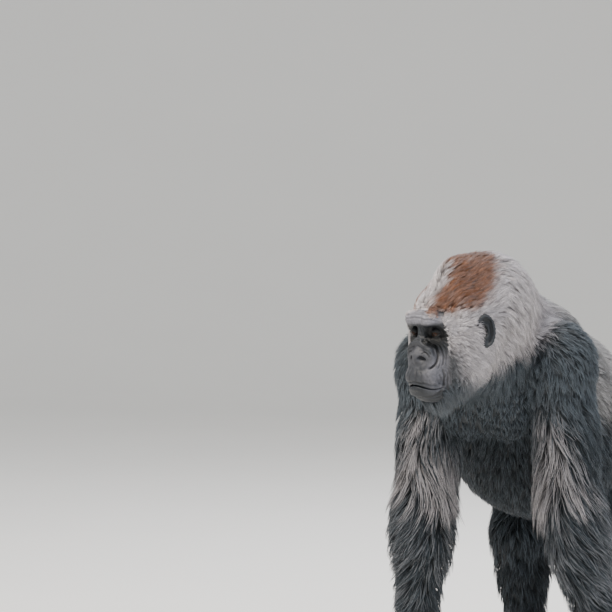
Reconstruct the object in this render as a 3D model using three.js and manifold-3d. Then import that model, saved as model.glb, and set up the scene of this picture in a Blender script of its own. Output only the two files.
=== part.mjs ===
// A silverback western lowland gorilla, standing on its feet and the knuckles of its hands, at life size.
// Millimetres, +Z up. It faces -Y with its left side at +X, its head turned to its own right, and it stands on Z = 0.
// The flesh is a field of rounded masses that run into one another. One mesh of the whole body is parted into
// named nodes by thin cuts, and the long hair is added to each node as flat, tapered locks.
import * as THREE from "three";
import { mergeVertices } from "three/addons/utils/BufferGeometryUtils.js";
import Module from "manifold-3d";

const wasm = await Module();
wasm.setup();

// ---------------------------------------------------------------- driving dimensions

const GAP = 0.3; // between nodes that touch
const FLOOR = 0;

// The midpoint between the eyeballs, and the way the head is held.
const EYES_AT = [-42, -374, 998];
const HEAD_YAW = 24; // degrees to its own right
const HEAD_PITCH = 16; // degrees down

const EYE_SPACING = 74;
const EYE_RADIUS = 12.5;

// The depth of the coat over the skin: what is short and dense is inside the solids in full.
const FUR = { head: 20, nape: 26, cheek: 22, chin: 14, chest: 8, back: 18, belly: 14, arm: 21, leg: 20, rump: 16 };

// ---------------------------------------------------------------- fields

const mix = (a, b, t) => a + (b - a) * t;
const clamp = (v, lo, hi) => Math.min(hi, Math.max(lo, v));

// The smooth union of two distances, rounded over k.
function join(a, b, k) {
  const h = Math.max(k - Math.abs(a - b), 0) / k;
  return Math.min(a, b) - (h * h * k) / 4;
}

// A rounded cone from a to b: a limb segment or a ridge.
function cone(a, b, ra, rb, fur = 0) {
  const d = [b[0] - a[0], b[1] - a[1], b[2] - a[2]];
  const dd = d[0] * d[0] + d[1] * d[1] + d[2] * d[2];
  const centre = [(a[0] + b[0]) / 2, (a[1] + b[1]) / 2, (a[2] + b[2]) / 2];
  const reach = Math.sqrt(dd) / 2 + Math.max(ra, rb) + fur;
  const at = (x, y, z) => {
    const px = x - a[0];
    const py = y - a[1];
    const pz = z - a[2];
    const h = clamp((px * d[0] + py * d[1] + pz * d[2]) / dd, 0, 1);
    return Math.hypot(px - d[0] * h, py - d[1] * h, pz - d[2] * h) - mix(ra, rb, h) - fur;
  };
  return { at, centre, reach };
}

// An ellipsoid with its half sizes, turned by turn (a rotation matrix) about its centre.
function lump(centre, radii, fur = 0, turn = new THREE.Matrix4()) {
  const r = radii.map((v) => v + fur);
  const m = turn.clone().transpose().elements;
  const at = (x, y, z) => {
    const px = x - centre[0];
    const py = y - centre[1];
    const pz = z - centre[2];
    const qx = (m[0] * px + m[4] * py + m[8] * pz) / r[0];
    const qy = (m[1] * px + m[5] * py + m[9] * pz) / r[1];
    const qz = (m[2] * px + m[6] * py + m[10] * pz) / r[2];
    const k0 = Math.hypot(qx, qy, qz);
    const k1 = Math.hypot(qx / r[0], qy / r[1], qz / r[2]);
    return k1 < 1e-9 ? -Math.min(...r) : (k0 * (k0 - 1)) / k1;
  };
  return { at, centre, reach: Math.max(...r) };
}

// Masses joined with rounding k. One that is far off is passed over, which saves most of the work.
function blend(k, masses) {
  const lo = [1e9, 1e9, 1e9];
  const hi = [-1e9, -1e9, -1e9];
  for (const m of masses)
    for (let i = 0; i < 3; i++) {
      lo[i] = Math.min(lo[i], m.centre[i] - m.reach);
      hi[i] = Math.max(hi[i], m.centre[i] + m.reach);
    }
  const centre = lo.map((v, i) => (v + hi[i]) / 2);
  const reach = Math.hypot(hi[0] - lo[0], hi[1] - lo[1], hi[2] - lo[2]) / 2;
  const far = 2 * k + 60;
  const at = (x, y, z) => {
    let found = 1e3;
    for (const m of masses) {
      const off = Math.hypot(x - m.centre[0], y - m.centre[1], z - m.centre[2]) - m.reach;
      found = off > far ? Math.min(found, off) : join(found, m.at(x, y, z), k);
    }
    return found;
  };
  return { at, centre, reach };
}

// A field with hollows taken out of it, each edge rounded over k.
function hollowed(field, k, hollows) {
  const at = (x, y, z) => {
    let found = field.at(x, y, z);
    for (const h of hollows) found = -join(-found, h.at(x, y, z), k);
    return found;
  };
  return { ...field, at };
}

const SIDES = { left: 1, right: -1 };

// ---------------------------------------------------------------- the head, in its own frame
// Origin between the eyeballs, X to its left, Y back and Z up.

const HEAD = new THREE.Matrix4()
  .makeTranslation(...EYES_AT)
  .multiply(new THREE.Matrix4().makeRotationZ(THREE.MathUtils.degToRad(-HEAD_YAW)))
  .multiply(new THREE.Matrix4().makeRotationX(THREE.MathUtils.degToRad(HEAD_PITCH)));
const HEAD_TURN = new THREE.Matrix4().extractRotation(HEAD);
const inHead = (p) => new THREE.Vector3(...p).applyMatrix4(HEAD).toArray();
const headCone = (a, b, ra, rb, fur) => cone(inHead(a), inHead(b), ra, rb, fur);
const headLump = (c, r, fur) => lump(inHead(c), r, fur, HEAD_TURN);
const both = (make) => [make(1), make(-1)];

function headField() {
  const skull = blend(38, [
    headLump([0, 112, 12], [68, 74, 56], FUR.head), // braincase
    headLump([0, 164, 42], [36, 78, 62], FUR.head), // crest and scalp pad
    ...both((s) => headLump([s * 44, 92, 6], [36, 64, 62], FUR.head)), // temporal muscles
    headLump([0, 216, 4], [86, 90, 94], FUR.nape), // nuchal muscles
    ...both((s) => headLump([s * 58, 62, -72], [34, 52, 66], FUR.cheek)), // masseters
    headLump([0, 60, -100], [58, 80, 62], FUR.chin), // throat between the jaws
  ]);
  const face = blend(14, [
    headCone([-40, -13, 33], [40, -13, 33], 15, 15, 0), // brow bar
    ...both((s) => headCone([s * 34, -13, 33], [s * 64, 12, 20], 15, 12, 0)),
    ...both((s) => headCone([s * 64, 12, 18], [s * 66, 18, -26], 11, 12, 0)), // outer rim of the orbit
    ...both((s) => headLump([s * 52, 2, -30], [26, 22, 17], 0)), // cheekbones
    headLump([0, 22, -20], [62, 36, 52], 0), // inner face
    headCone([0, -6, 16], [0, -28, -36], 11, 15, 0), // nose bridge
    headLump([0, -14, -84], [50, 44, 52], 0), // muzzle
    headLump([0, -38, -92], [44, 30, 30], 0), // upper lip
    headLump([0, -34, -128], [42, 32, 24], 0), // lower lip
    headLump([0, -14, -150], [42, 38, 26], 4), // chin
    ...both((s) => headCone([s * 26, -10, -148], [s * 58, 60, -110], 24, 28, FUR.chin)), // jaw
    headLump([0, -44, -46], [15, 15, 14], 0), // nose tip
    ...both((s) => headLump([s * 22, -36, -50], [17, 17, 17], 0)), // wings of the nose
  ]);
  const whole = blend(24, [skull, face]);
  return hollowed(whole, 12, [
    ...both((s) => headLump([(s * EYE_SPACING) / 2, -16, -3], [20, 19, 15])), // orbits
  ]);
}

// ---------------------------------------------------------------- torso

function torsoField() {
  return blend(55, [
    lump([0, 50, 862], [130, 160, 145], FUR.chest), // upper chest
    lump([0, 250, 798], [212, 176, 208], FUR.back), // ribs
    lump([0, 345, 690], [240, 222, 222], FUR.belly), // belly
    cone([0, 180, 935], [0, 500, 838], 95, 110, FUR.back), // long muscles of the back
    lump([0, 470, 790], [180, 220, 130], FUR.back), // loins
    lump([0, 640, 715], [165, 160, 145], FUR.rump), // pelvis
    ...both((s) => lump([s * 80, 700, 650], [88, 100, 110], FUR.rump)), // buttocks
    ...both((s) => lump([s * 100, 110, 940], [80, 120, 90], FUR.back)), // shoulder blades
    ...both((s) => lump([s * 58, -62, 795], [62, 56, 85], FUR.chest)), // breast muscles
    cone([0, 150, 935], inHead([0, 235, 20]), 100, 88, FUR.nape), // trapezius
  ]);
}

function neckField() {
  return blend(50, [
    cone([0, -40, 945], inHead([0, 190, 5]), 110, 92, FUR.nape),
    cone([0, -60, 890], inHead([0, 80, -70]), 85, 70, FUR.chest),
  ]);
}

// ---------------------------------------------------------------- limbs

const ARMS = {
  left: { shoulder: [174, -8, 902], elbow: [214, 12, 522], wrist: [262, 90, 168] },
  right: { shoulder: [-168, -2, 884], elbow: [-200, 8, 522], wrist: [-228, 16, 168] },
};

function armField({ shoulder, elbow, wrist }) {
  return blend(34, [
    lump(shoulder, [82, 92, 92], FUR.arm), // deltoid
    cone(shoulder, elbow, 70, 50, FUR.arm), // upper arm
    lump(between(shoulder, elbow, 0.52, [0, 14, 0]), [60, 66, 130], FUR.arm), // triceps
    lump(between(elbow, wrist, 0.22), [62, 64, 110], FUR.arm), // forearm muscles
    cone(elbow, wrist, 50, 34, FUR.arm * 0.85),
  ]);
}

function between(a, b, t, off = [0, 0, 0]) {
  return a.map((v, i) => mix(v, b[i], t) + off[i]);
}

const LEGS = {
  left: { hip: [98, 650, 650], knee: [165, 478, 385], ankle: [172, 612, 92], out: 14 },
  right: { hip: [-98, 650, 650], knee: [-114, 494, 388], ankle: [-126, 600, 92], out: 10 },
};

function legField(leg) {
  const { hip, knee, ankle } = leg;
  return blend(34, [
    cone(hip, knee, 102, 58, FUR.leg),
    lump(between(hip, knee, 0.4), [86, 92, 120], FUR.leg),
    cone(knee, ankle, 52, 38, FUR.leg),
    lump(between(knee, ankle, 0.32, [0, 18, 0]), [54, 56, 95], FUR.leg), // calf
  ]);
}

// ---------------------------------------------------------------- hands, on the knuckles

const FINGER = { count: 4, spacing: 30, radius: 15.5, mcp: 84, ahead: 40, bed: 12.5 };

// The points of one finger: knuckle of the hand, middle joint and the curled tip.
function fingerPoints(wrist, i) {
  const off = (i - (FINGER.count - 1) / 2) * FINGER.spacing;
  const x = wrist[0] + off;
  const reach = FINGER.ahead - 4 * Math.abs(i - 1.5);
  const knuckle = [x, wrist[1] - 14, FINGER.mcp];
  const middle = [x, wrist[1] - 14 - reach, FINGER.bed];
  const curl = [x, wrist[1] - 14 - reach + 40, FINGER.bed];
  const tip = [x, wrist[1] - 14 - reach + 42, FINGER.bed + 28];
  return [knuckle, middle, curl, tip];
}

function handField(wrist, s) {
  const fingers = [];
  for (let i = 0; i < FINGER.count; i++) {
    const [knuckle, middle, curl, tip] = fingerPoints(wrist, i);
    fingers.push(
      blend(6, [
        cone(knuckle, middle, 17, FINGER.radius),
        cone(middle, curl, FINGER.radius, FINGER.radius),
        cone(curl, tip, FINGER.radius - 1, FINGER.radius - 3),
      ]),
    );
  }
  const palm = blend(20, [
    cone(wrist, [wrist[0], wrist[1] - 6, wrist[2] - 40], 38, 40),
    cone([wrist[0] - 34, wrist[1] - 10, 106], [wrist[0] + 34, wrist[1] - 10, 106], 25, 25),
    lump([wrist[0], wrist[1] - 8, 112], [54, 28, 44]),
  ]);
  const inner = -s;
  const thumb = blend(8, [
    cone([wrist[0] + inner * 44, wrist[1] + 2, 122], [wrist[0] + inner * 62, wrist[1] - 8, 84], 17, 14),
    cone([wrist[0] + inner * 62, wrist[1] - 8, 84], [wrist[0] + inner * 60, wrist[1] - 14, 58], 13, 10),
  ]);
  return blend(5, [palm, thumb, ...fingers]);
}

// ---------------------------------------------------------------- feet

const TOES = { count: 4, spacing: 24, radius: 14, length: 52 };

function footField(leg, s) {
  const { ankle, out } = leg;
  const turn = new THREE.Matrix4()
    .makeTranslation(ankle[0], ankle[1], 0)
    .multiply(new THREE.Matrix4().makeRotationZ(THREE.MathUtils.degToRad(out * s)));
  const at = (p) => new THREE.Vector3(p[0] * s, p[1], p[2]).applyMatrix4(turn).toArray();
  const toes = [];
  for (let i = 0; i < TOES.count; i++) {
    const x = 46 - i * TOES.spacing;
    const y = -150 - 12 * i + (i === 3 ? 8 : 0);
    toes.push(cone(at([x, y, 19]), at([x + 2, y - TOES.length, 14]), 17, TOES.radius));
  }
  const body = blend(22, [
    cone(at([0, 6, ankle[2]]), at([0, 34, 34]), 40, 32),
    cone(at([0, 34, 30]), at([8, -60, 40]), 30, 30),
    cone(at([26, -50, 28]), at([30, -140, 22]), 28, 22),
    cone(at([-14, -50, 34]), at([-14, -140, 24]), 30, 24),
  ]);
  const bigToe = blend(10, [
    cone(at([-24, -60, 30]), at([-58, -118, 22]), 22, 20),
    cone(at([-58, -118, 21]), at([-74, -168, 18]), 19, 16),
  ]);
  return blend(10, [body, bigToe, ...toes]);
}

// ---------------------------------------------------------------- the whole body

function bodyField() {
  const trunk = blend(45, [torsoField(), neckField(), headField()]);
  const limbs = [];
  for (const [name, s] of Object.entries(SIDES)) {
    const arm = ARMS[name];
    const leg = LEGS[name];
    limbs.push(blend(18, [armField(arm), handField(arm.wrist, s)]));
    limbs.push(blend(18, [legField(leg), footField(leg, s)]));
  }
  return blend(26, [trunk, ...limbs]);
}

// ---------------------------------------------------------------- a mesh of a field

// Even grid lines from lo to hi.
function lines(lo, hi, step) {
  const count = Math.ceil((hi - lo) / step);
  return Array.from({ length: count + 1 }, (_, i) => lo + ((hi - lo) * i) / count);
}

// Each cell of the grid is six tetrahedra about its diagonal, which always gives a closed surface.
const CORNERS = [0, 1, 2, 3, 4, 5, 6, 7].map((c) => [c & 1, (c >> 1) & 1, (c >> 2) & 1]);
const TETRAHEDRA = [
  [0, 1, 3, 7],
  [0, 3, 2, 7],
  [0, 2, 6, 7],
  [0, 6, 4, 7],
  [0, 4, 5, 7],
  [0, 5, 1, 7],
];

// The surface of a field inside a box from lo to hi that frame places, closed where the box ends.
function meshOf(field, { lo, hi, step, frame = new THREE.Matrix4() }) {
  const [xs, ys, zs] = [0, 1, 2].map((i) => lines(lo[i], hi[i], step));
  const [nx, ny, nz] = [xs.length, ys.length, zs.length];
  const value = new Float32Array(nx * ny * nz);
  const point = new Float32Array(nx * ny * nz * 3);
  const index = (i, j, k) => i + nx * (j + ny * k);
  const p = new THREE.Vector3();
  for (let k = 0; k < nz; k++)
    for (let j = 0; j < ny; j++)
      for (let i = 0; i < nx; i++) {
        const n = index(i, j, k);
        p.set(xs[i], ys[j], zs[k]).applyMatrix4(frame);
        point.set([p.x, p.y, p.z], n * 3);
        const rim = i === 0 || j === 0 || k === 0 || i === nx - 1 || j === ny - 1 || k === nz - 1;
        value[n] = rim ? Math.max(step, field.at(p.x, p.y, p.z)) : field.at(p.x, p.y, p.z);
      }
  const points = [];
  const faces = [];
  const made = new Map();
  const vertex = (a, b) => {
    const key = a < b ? a * value.length + b : b * value.length + a;
    if (!made.has(key)) {
      const t = clamp(value[a] / (value[a] - value[b]), 0.04, 0.96);
      made.set(key, points.push([0, 1, 2].map((i) => mix(point[a * 3 + i], point[b * 3 + i], t))) - 1);
    }
    return made.get(key);
  };
  for (let k = 0; k + 1 < nz; k++)
    for (let j = 0; j + 1 < ny; j++)
      for (let i = 0; i + 1 < nx; i++) {
        const at = CORNERS.map(([x, y, z]) => index(i + x, j + y, k + z));
        const inside = at.filter((n) => value[n] < 0).length;
        if (inside === 0 || inside === 8) continue;
        for (const tet of TETRAHEDRA) cutTetrahedron(tet.map((c) => at[c]), value, vertex, faces);
      }
  return { points, faces };
}

function cutTetrahedron(t, value, vertex, faces) {
  const inner = [0, 1, 2, 3].filter((c) => value[t[c]] < 0);
  if (inner.length === 0 || inner.length === 4) return;
  // Even orders of the four corners, so that every triangle faces out.
  const EVEN = { 0: [0, 1, 2, 3], 1: [1, 0, 3, 2], 2: [2, 0, 1, 3], 3: [3, 0, 2, 1] };
  const PAIRS = {
    "01": [0, 1, 2, 3],
    "02": [0, 2, 3, 1],
    "03": [0, 3, 1, 2],
    12: [1, 2, 0, 3],
    13: [1, 3, 2, 0],
    23: [2, 3, 0, 1],
  };
  if (inner.length === 2) {
    const [a, b, c, d] = PAIRS[inner.join("")].map((n) => t[n]);
    const corners = [vertex(a, c), vertex(a, d), vertex(b, d), vertex(b, c)];
    faces.push([corners[0], corners[1], corners[2]], [corners[0], corners[2], corners[3]]);
    return;
  }
  const odd = inner.length === 1 ? inner[0] : [0, 1, 2, 3].find((c) => !inner.includes(c));
  const [a, b, c, d] = EVEN[odd].map((n) => t[n]);
  const [p, q, r] = [vertex(a, b), vertex(a, c), vertex(a, d)];
  faces.push(inner.length === 1 ? [p, q, r] : [p, r, q]);
}

// ---------------------------------------------------------------- fewer, larger facets

class Heap {
  items = [];
  push(item) {
    const list = this.items;
    let n = list.push(item) - 1;
    while (n > 0) {
      const up = (n - 1) >> 1;
      if (list[up].cost <= item.cost) break;
      list[n] = list[up];
      n = up;
    }
    list[n] = item;
  }
  pop() {
    const list = this.items;
    const top = list[0];
    const last = list.pop();
    if (list.length === 0) return top;
    let n = 0;
    for (;;) {
      let child = 2 * n + 1;
      if (child >= list.length) break;
      if (child + 1 < list.length && list[child + 1].cost < list[child].cost) child++;
      if (list[child].cost >= last.cost) break;
      list[n] = list[child];
      n = child;
    }
    list[n] = last;
    return top;
  }
}

const sub = (a, b) => [a[0] - b[0], a[1] - b[1], a[2] - b[2]];
const cross = (a, b) => [a[1] * b[2] - a[2] * b[1], a[2] * b[0] - a[0] * b[2], a[0] * b[1] - a[1] * b[0]];
const dot = (a, b) => a[0] * b[0] + a[1] * b[1] + a[2] * b[2];
const faceNormal = (p, q, r) => cross(sub(q, p), sub(r, p));

// The square of a triangle's longest side.
const longestSide = (t) => Math.max(...t.map((p, i) => dot(sub(p, t[(i + 1) % 3]), sub(p, t[(i + 1) % 3]))));

// Garland and Heckbert's edge collapse: an edge goes where that moves the surface least, and care keeps facets small.
function simplify({ points, faces }, target, care) {
  const around = points.map(() => new Set());
  const quadric = points.map(() => new Float64Array(10));
  const stamp = new Uint32Array(points.length);
  faces.forEach((f, n) => {
    const normal = faceNormal(...f.map((v) => points[v]));
    const area = Math.hypot(...normal);
    const [a, b, c] = normal.map((v) => v / (area || 1));
    const d = -dot([a, b, c], points[f[0]]);
    const w = area * care(points[f[0]]);
    [a * a, a * b, a * c, a * d, b * b, b * c, b * d, c * c, c * d, d * d].forEach((v, i) =>
      f.forEach((p) => (quadric[p][i] += v * w)),
    );
    f.forEach((p) => around[p].add(n));
  });
  const error = (q, [x, y, z]) =>
    q[0] * x * x + q[4] * y * y + q[7] * z * z + 2 * (q[1] * x * y + q[2] * x * z + q[5] * y * z) +
    2 * (q[3] * x + q[6] * y + q[8] * z) + q[9];
  const heap = new Heap();
  const offer = (a, b) => {
    const q = quadric[a].map((v, i) => v + quadric[b][i]);
    const middle = points[a].map((v, i) => (v + points[b][i]) / 2);
    const length = dot(sub(points[a], points[b]), sub(points[a], points[b]));
    let best = null;
    for (const p of [bestPlace(q, middle, Math.sqrt(length)), middle, points[a], points[b]]) {
      if (!p) continue;
      const cost = error(q, p) + 1e-4 * length * length * care(p);
      if (!best || cost < best.cost) best = { cost, p };
    }
    heap.push({ ...best, a, b, sa: stamp[a], sb: stamp[b] });
  };
  const neighbours = (v) => {
    const found = new Set();
    for (const n of around[v]) for (const p of faces[n]) if (p !== v) found.add(p);
    return found;
  };
  const turnsOver = (v, gone, p) => {
    for (const n of around[v]) {
      const f = faces[n];
      if (f.includes(gone)) continue;
      const was = f.map((i) => points[i]);
      const now = f.map((i) => (i === v ? p : points[i]));
      const a = faceNormal(...was);
      const b = faceNormal(...now);
      const fatBefore = Math.hypot(...a) / longestSide(was);
      const fatness = Math.hypot(...b) / longestSide(now);
      if (fatBefore > 0.03 && dot(a, b) < 0.1 * Math.hypot(...a) * Math.hypot(...b)) return true;
      if (fatness < 0.04 && fatness < fatBefore) return true;
    }
    return false;
  };
  let left = faces.length;
  const gone = new Uint8Array(faces.length);
  const collapse = ({ a, b, sa, sb, p }) => {
    if (sa !== stamp[a] || sb !== stamp[b]) return;
    const na = neighbours(a);
    const shared = [...neighbours(b)].filter((v) => na.has(v));
    if (shared.length !== 2 || turnsOver(a, b, p) || turnsOver(b, a, p)) return;

    for (const n of [...around[b]]) {
      if (faces[n].includes(a)) {
        gone[n] = 1;
        left--;
        faces[n].forEach((v) => around[v].delete(n));
      } else {
        faces[n] = faces[n].map((v) => (v === b ? a : v));
        around[a].add(n);
      }
    }
    around[b].clear();
    points[a] = p;
    quadric[a] = quadric[a].map((v, i) => v + quadric[b][i]);
    stamp[a]++;
    stamp[b] = 0xffffffff;
    for (const v of neighbours(a)) offer(a, v);
  };
  for (let before = Infinity; left > target && left < before; ) {
    before = left;
    faces.forEach((f, n) => {
      if (!gone[n]) f.forEach((a, i) => a < f[(i + 1) % 3] && offer(a, f[(i + 1) % 3]));
    });
    while (left > target && heap.items.length) collapse(heap.pop());
  }
  return { points, faces: faces.filter((f, n) => !gone[n]) };
}

// The point where a quadric is least, or null where it lies far from the edge.
function bestPlace(q, middle, length) {
  const m = [q[0], q[1], q[2], q[1], q[4], q[5], q[2], q[5], q[7]];
  const c0 = [m[4] * m[8] - m[5] * m[7], m[5] * m[6] - m[3] * m[8], m[3] * m[7] - m[4] * m[6]];
  const det = m[0] * c0[0] + m[1] * c0[1] + m[2] * c0[2];
  const size = Math.abs(q[0] + q[4] + q[7]);
  if (Math.abs(det) < 1e-6 * size ** 3) return null;
  const inverse = new THREE.Matrix3().set(...m).invert();
  const p = new THREE.Vector3(-q[3], -q[6], -q[8]).applyMatrix3(inverse).toArray();
  return Math.hypot(...sub(p, middle)) < length ? p : null;
}

// ---------------------------------------------------------------- solids

function solidOf({ points, faces }) {
  return new wasm.Manifold(
    new wasm.Mesh({
      numProp: 3,
      vertProperties: new Float32Array(points.flat()),
      triVerts: new Uint32Array(faces.flat()),
    }),
  );
}

function solidFrom(geometry, matrix = new THREE.Matrix4()) {
  const g = (geometry.index ? geometry.toNonIndexed() : geometry.clone()).applyMatrix4(matrix);
  g.deleteAttribute("normal");
  g.deleteAttribute("uv");
  const merged = mergeVertices(g, 1e-4);
  return new wasm.Manifold(
    new wasm.Mesh({
      numProp: 3,
      vertProperties: merged.attributes.position.array,
      triVerts: new Uint32Array(merged.index.array),
    }),
  );
}

const volume = (solid) => solid.volume();
const largest = (solid) => solid.decompose().reduce((a, b) => (volume(b) > volume(a) ? b : a));

// A thin slab across a joint: normal is the way through it, across one of its sides, size its width and depth.
function slab(centre, normal, across, size) {
  const n = new THREE.Vector3(...normal).normalize();
  const u = new THREE.Vector3(...across).addScaledVector(n, -dot(across, n.toArray())).normalize();
  const w = new THREE.Vector3().crossVectors(n, u);
  const place = new THREE.Matrix4().makeBasis(u, w, n).setPosition(...centre);
  return solidFrom(new THREE.BoxGeometry(size[0], size[1], GAP), place);
}

// A thin blade from a line: along is the way of the line, towards the way it cuts from there.
function blade(point, along, towards, width, depth) {
  const u = new THREE.Vector3(...along).normalize();
  const w = new THREE.Vector3(...towards).addScaledVector(u, -dot(towards, u.toArray())).normalize();
  const centre = new THREE.Vector3(...point).addScaledVector(w, depth / 2 - 2).toArray();
  return slab(centre, cross(u.toArray(), w.toArray()), u.toArray(), [width, depth + 4]);
}

// Cuts a solid with slabs and gives each piece that is nearest to one of the named points.
function split(solid, slabs, points) {
  const cut = slabs.reduce((left, knife) => left.subtract(knife), solid);
  const pieces = cut.decompose().sort((a, b) => volume(b) - volume(a)).slice(0, Object.keys(points).length);
  const found = {};
  for (const [name, point] of Object.entries(points)) {
    const off = (piece) => {
      const box = piece.boundingBox();
      return Math.hypot(...box.min.map((v, i) => (v + box.max[i]) / 2 - point[i]));
    };
    found[name] = pieces.reduce((a, b) => (off(b) < off(a) ? b : a));
    pieces.splice(pieces.indexOf(found[name]), 1);
  }
  return found;
}

function geometryOf(solid) {
  const m = solid.getMesh();
  const position = new Float32Array(m.numVert * 3);
  for (let i = 0; i < m.numVert; i++)
    position.set(m.vertProperties.subarray(i * m.numProp, i * m.numProp + 3), i * 3);
  const g = new THREE.BufferGeometry();
  g.setAttribute("position", new THREE.BufferAttribute(position, 3));
  g.setIndex(new THREE.BufferAttribute(m.triVerts, 1));
  g.computeVertexNormals();
  return g;
}

// An ellipsoid on three axes: half sizes along each, in the frame that place gives.
function ball(radii, place, detail = 3) {
  return solidFrom(new THREE.IcosahedronGeometry(1, detail), place.clone().scale(new THREE.Vector3(...radii)));
}

// A closed solid through rings of points, drawn to a point at each end.
function sweep(first, rings, last) {
  const n = rings[0].length;
  const points = [first, ...rings.flat(), last];
  const faces = [];
  for (let i = 0; i < n; i++) {
    const j = (i + 1) % n;
    const end = 1 + (rings.length - 1) * n;
    faces.push([0, 1 + j, 1 + i], [points.length - 1, end + i, end + j]);
    for (let r = 0; r + 1 < rings.length; r++) {
      const [a, b] = [1 + r * n, 1 + (r + 1) * n];
      faces.push([a + i, a + j, b + j], [a + i, b + j, b + i]);
    }
  }
  const solid = solidOf({ points, faces });
  return volume(solid) < 0 ? solidOf({ points, faces: faces.map(([a, b, c]) => [a, c, b]) }) : solid;
}

// ---------------------------------------------------------------- the flesh, in pieces

const FIELD = bodyField();
const BELOW = solidFrom(new THREE.BoxGeometry(3000, 3000, 200), new THREE.Matrix4().makeTranslation(0, 0, FLOOR - 100));

function flesh(box, target, care = () => 1) {
  return solidOf(simplify(meshOf(FIELD, box), target, care)).subtract(BELOW);
}

const nodes = {};

function trunkAndLimbs() {
  const body = flesh({ lo: [-345, -520, -12], hi: [345, 860, 1270], step: 15 }, 3100);
  // Two blades meet under each shoulder blade, and two more in each groin.
  const arms = Object.values(SIDES).flatMap((s) => [
    blade([s * 104, 10, 862], [s * 0.3, 0, 1], [s * 0.33, -0.94, 0], 500, 185),
    blade([s * 104, 10, 862], [s * 0.3, 0, 1], [s * 0.75, 0.66, 0], 500, 240),
  ]);
  const legs = Object.values(SIDES).flatMap((s) => [
    blade([s * 162, 509, 616], [s, 0, 0.8], [0, -0.55, -0.83], 430, 200),
    blade([s * 162, 509, 616], [s, 0, 0.8], [0, 0.99, 0.15], 430, 360),
  ]);
  const crotch = slab([0, 590, 460], [1, 0, 0], [0, 1, 0], [320, 90]);
  const pieces = split(largest(body), [...arms, ...legs, crotch], {
    trunk: [0, 200, 850],
    arm_left: [200, 50, 500],
    arm_right: [-200, 10, 500],
    leg_left: [140, 560, 300],
    leg_right: [-120, 560, 300],
  });
  const trunk = split(pieces.trunk, [HEAD_SLAB], { rest: [0, 200, 800], head: inHead([0, 60, 0]) }).rest;
  const neck = split(trunk, [slab([-4, -72, 930], [0, 0.81, -0.58], [1, 0, 0], [600, 640])], {
    chest: [0, 300, 780],
    neck: [-10, -130, 980],
  });
  nodes.neck = neck.neck;
  const rest = split(neck.chest, [slab([0, 235, 750], [0, 1, 0.12], [1, 0, 0], [900, 900])], {
    chest: [0, 50, 850],
    rest: [0, 500, 750],
  });
  nodes.chest = rest.chest;
  const rear = split(rest.rest, [slab([0, 530, 720], [0, 1, 0.3], [1, 0, 0], [900, 900])], {
    abdomen: [0, 380, 730],
    pelvis: [0, 680, 710],
  });
  nodes.abdomen = rear.abdomen;
  nodes.pelvis = rear.pelvis;
  for (const side of Object.keys(SIDES)) {
    armPieces(pieces["arm_" + side], side);
    legPieces(pieces["leg_" + side], side);
  }
}

const wristSlab = ({ elbow, wrist }) => slab(wrist, sub(elbow, wrist), [1, 0, 0], [400, 400]);
const ankleSlab = ({ ankle }) => slab(ankle, [0, -0.25, 1], [1, 0, 0], [400, 400]);

function armPieces(arm, side) {
  const { shoulder, elbow, wrist } = ARMS[side];
  const upper = split(arm, [slab(elbow, sub(shoulder, wrist), [1, 0, 0], [400, 400])], {
    upper: between(shoulder, elbow, 0.4),
    lower: between(elbow, wrist, 0.6),
  });
  nodes["upper_arm_" + side] = upper.upper;
  const lower = split(upper.lower, [wristSlab(ARMS[side])], {
    forearm: between(elbow, wrist, 0.5),
    hand: [wrist[0], wrist[1] - 10, 70],
  });
  nodes["forearm_" + side] = lower.forearm;
}

function legPieces(leg, side) {
  const { hip, knee, ankle } = LEGS[side];
  const upper = split(leg, [slab(knee, sub(hip, ankle), [1, 0, 0], [400, 400])], {
    thigh: between(hip, knee, 0.5),
    lower: between(knee, ankle, 0.6),
  });
  nodes["thigh_" + side] = upper.thigh;
  const lower = split(upper.lower, [ankleSlab(LEGS[side])], {
    shin: between(knee, ankle, 0.5),
    foot: [ankle[0], ankle[1] - 70, 40],
  });
  nodes["shin_" + side] = lower.shin;
}

// The head ends behind the ears and the jaw.
const HEAD_SLAB = slab(inHead([0, 150, 0]), direction([0, 0.888, -0.46]), direction([1, 0, 0]), [430, 430]);

function direction(v) {
  return new THREE.Vector3(...v).transformDirection(HEAD_TURN).toArray();
}

function headCare([x, y, z]) {
  const p = new THREE.Vector3(x, y, z).applyMatrix4(HEAD.clone().invert());
  return p.y < 40 && p.z < 60 ? 14 : 1;
}

function head() {
  const box = { lo: [-150, -115, -240], hi: [150, 360, 215], step: 6.5, frame: HEAD };
  const solid = largest(flesh(box, 2500, headCare));
  nodes.head = split(solid, [HEAD_SLAB], { head: inHead([0, 60, 0]), rest: inHead([0, 260, 0]) }).head;
}

function hand(side) {
  const { wrist } = ARMS[side];
  const box = {
    lo: [wrist[0] - 110, wrist[1] - 110, -12],
    hi: [wrist[0] + 110, wrist[1] + 110, wrist[2] + 70],
    step: 6,
  };
  const points = { hand: [wrist[0], wrist[1] - 10, 70], rest: [wrist[0], wrist[1], wrist[2] + 40] };
  nodes["hand_" + side] = split(largest(flesh(box, 560)), [wristSlab(ARMS[side])], points).hand;
}

function foot(side) {
  const { ankle } = LEGS[side];
  const box = {
    lo: [ankle[0] - 130, ankle[1] - 270, -12],
    hi: [ankle[0] + 130, ankle[1] + 110, ankle[2] + 60],
    step: 6.5,
  };
  const points = { foot: [ankle[0], ankle[1] - 70, 40], rest: [ankle[0], ankle[1], ankle[2] + 30] };
  nodes["foot_" + side] = split(largest(flesh(box, 520)), [ankleSlab(LEGS[side])], points).foot;
}

// ---------------------------------------------------------------- locks of long hair

const SUNK = 6; // how deep a lock's root is in the flesh
const LOCK_THICK = 14;
const LOCK_BEND = 0.5; // the most that a tip turns aside, in radians

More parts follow.
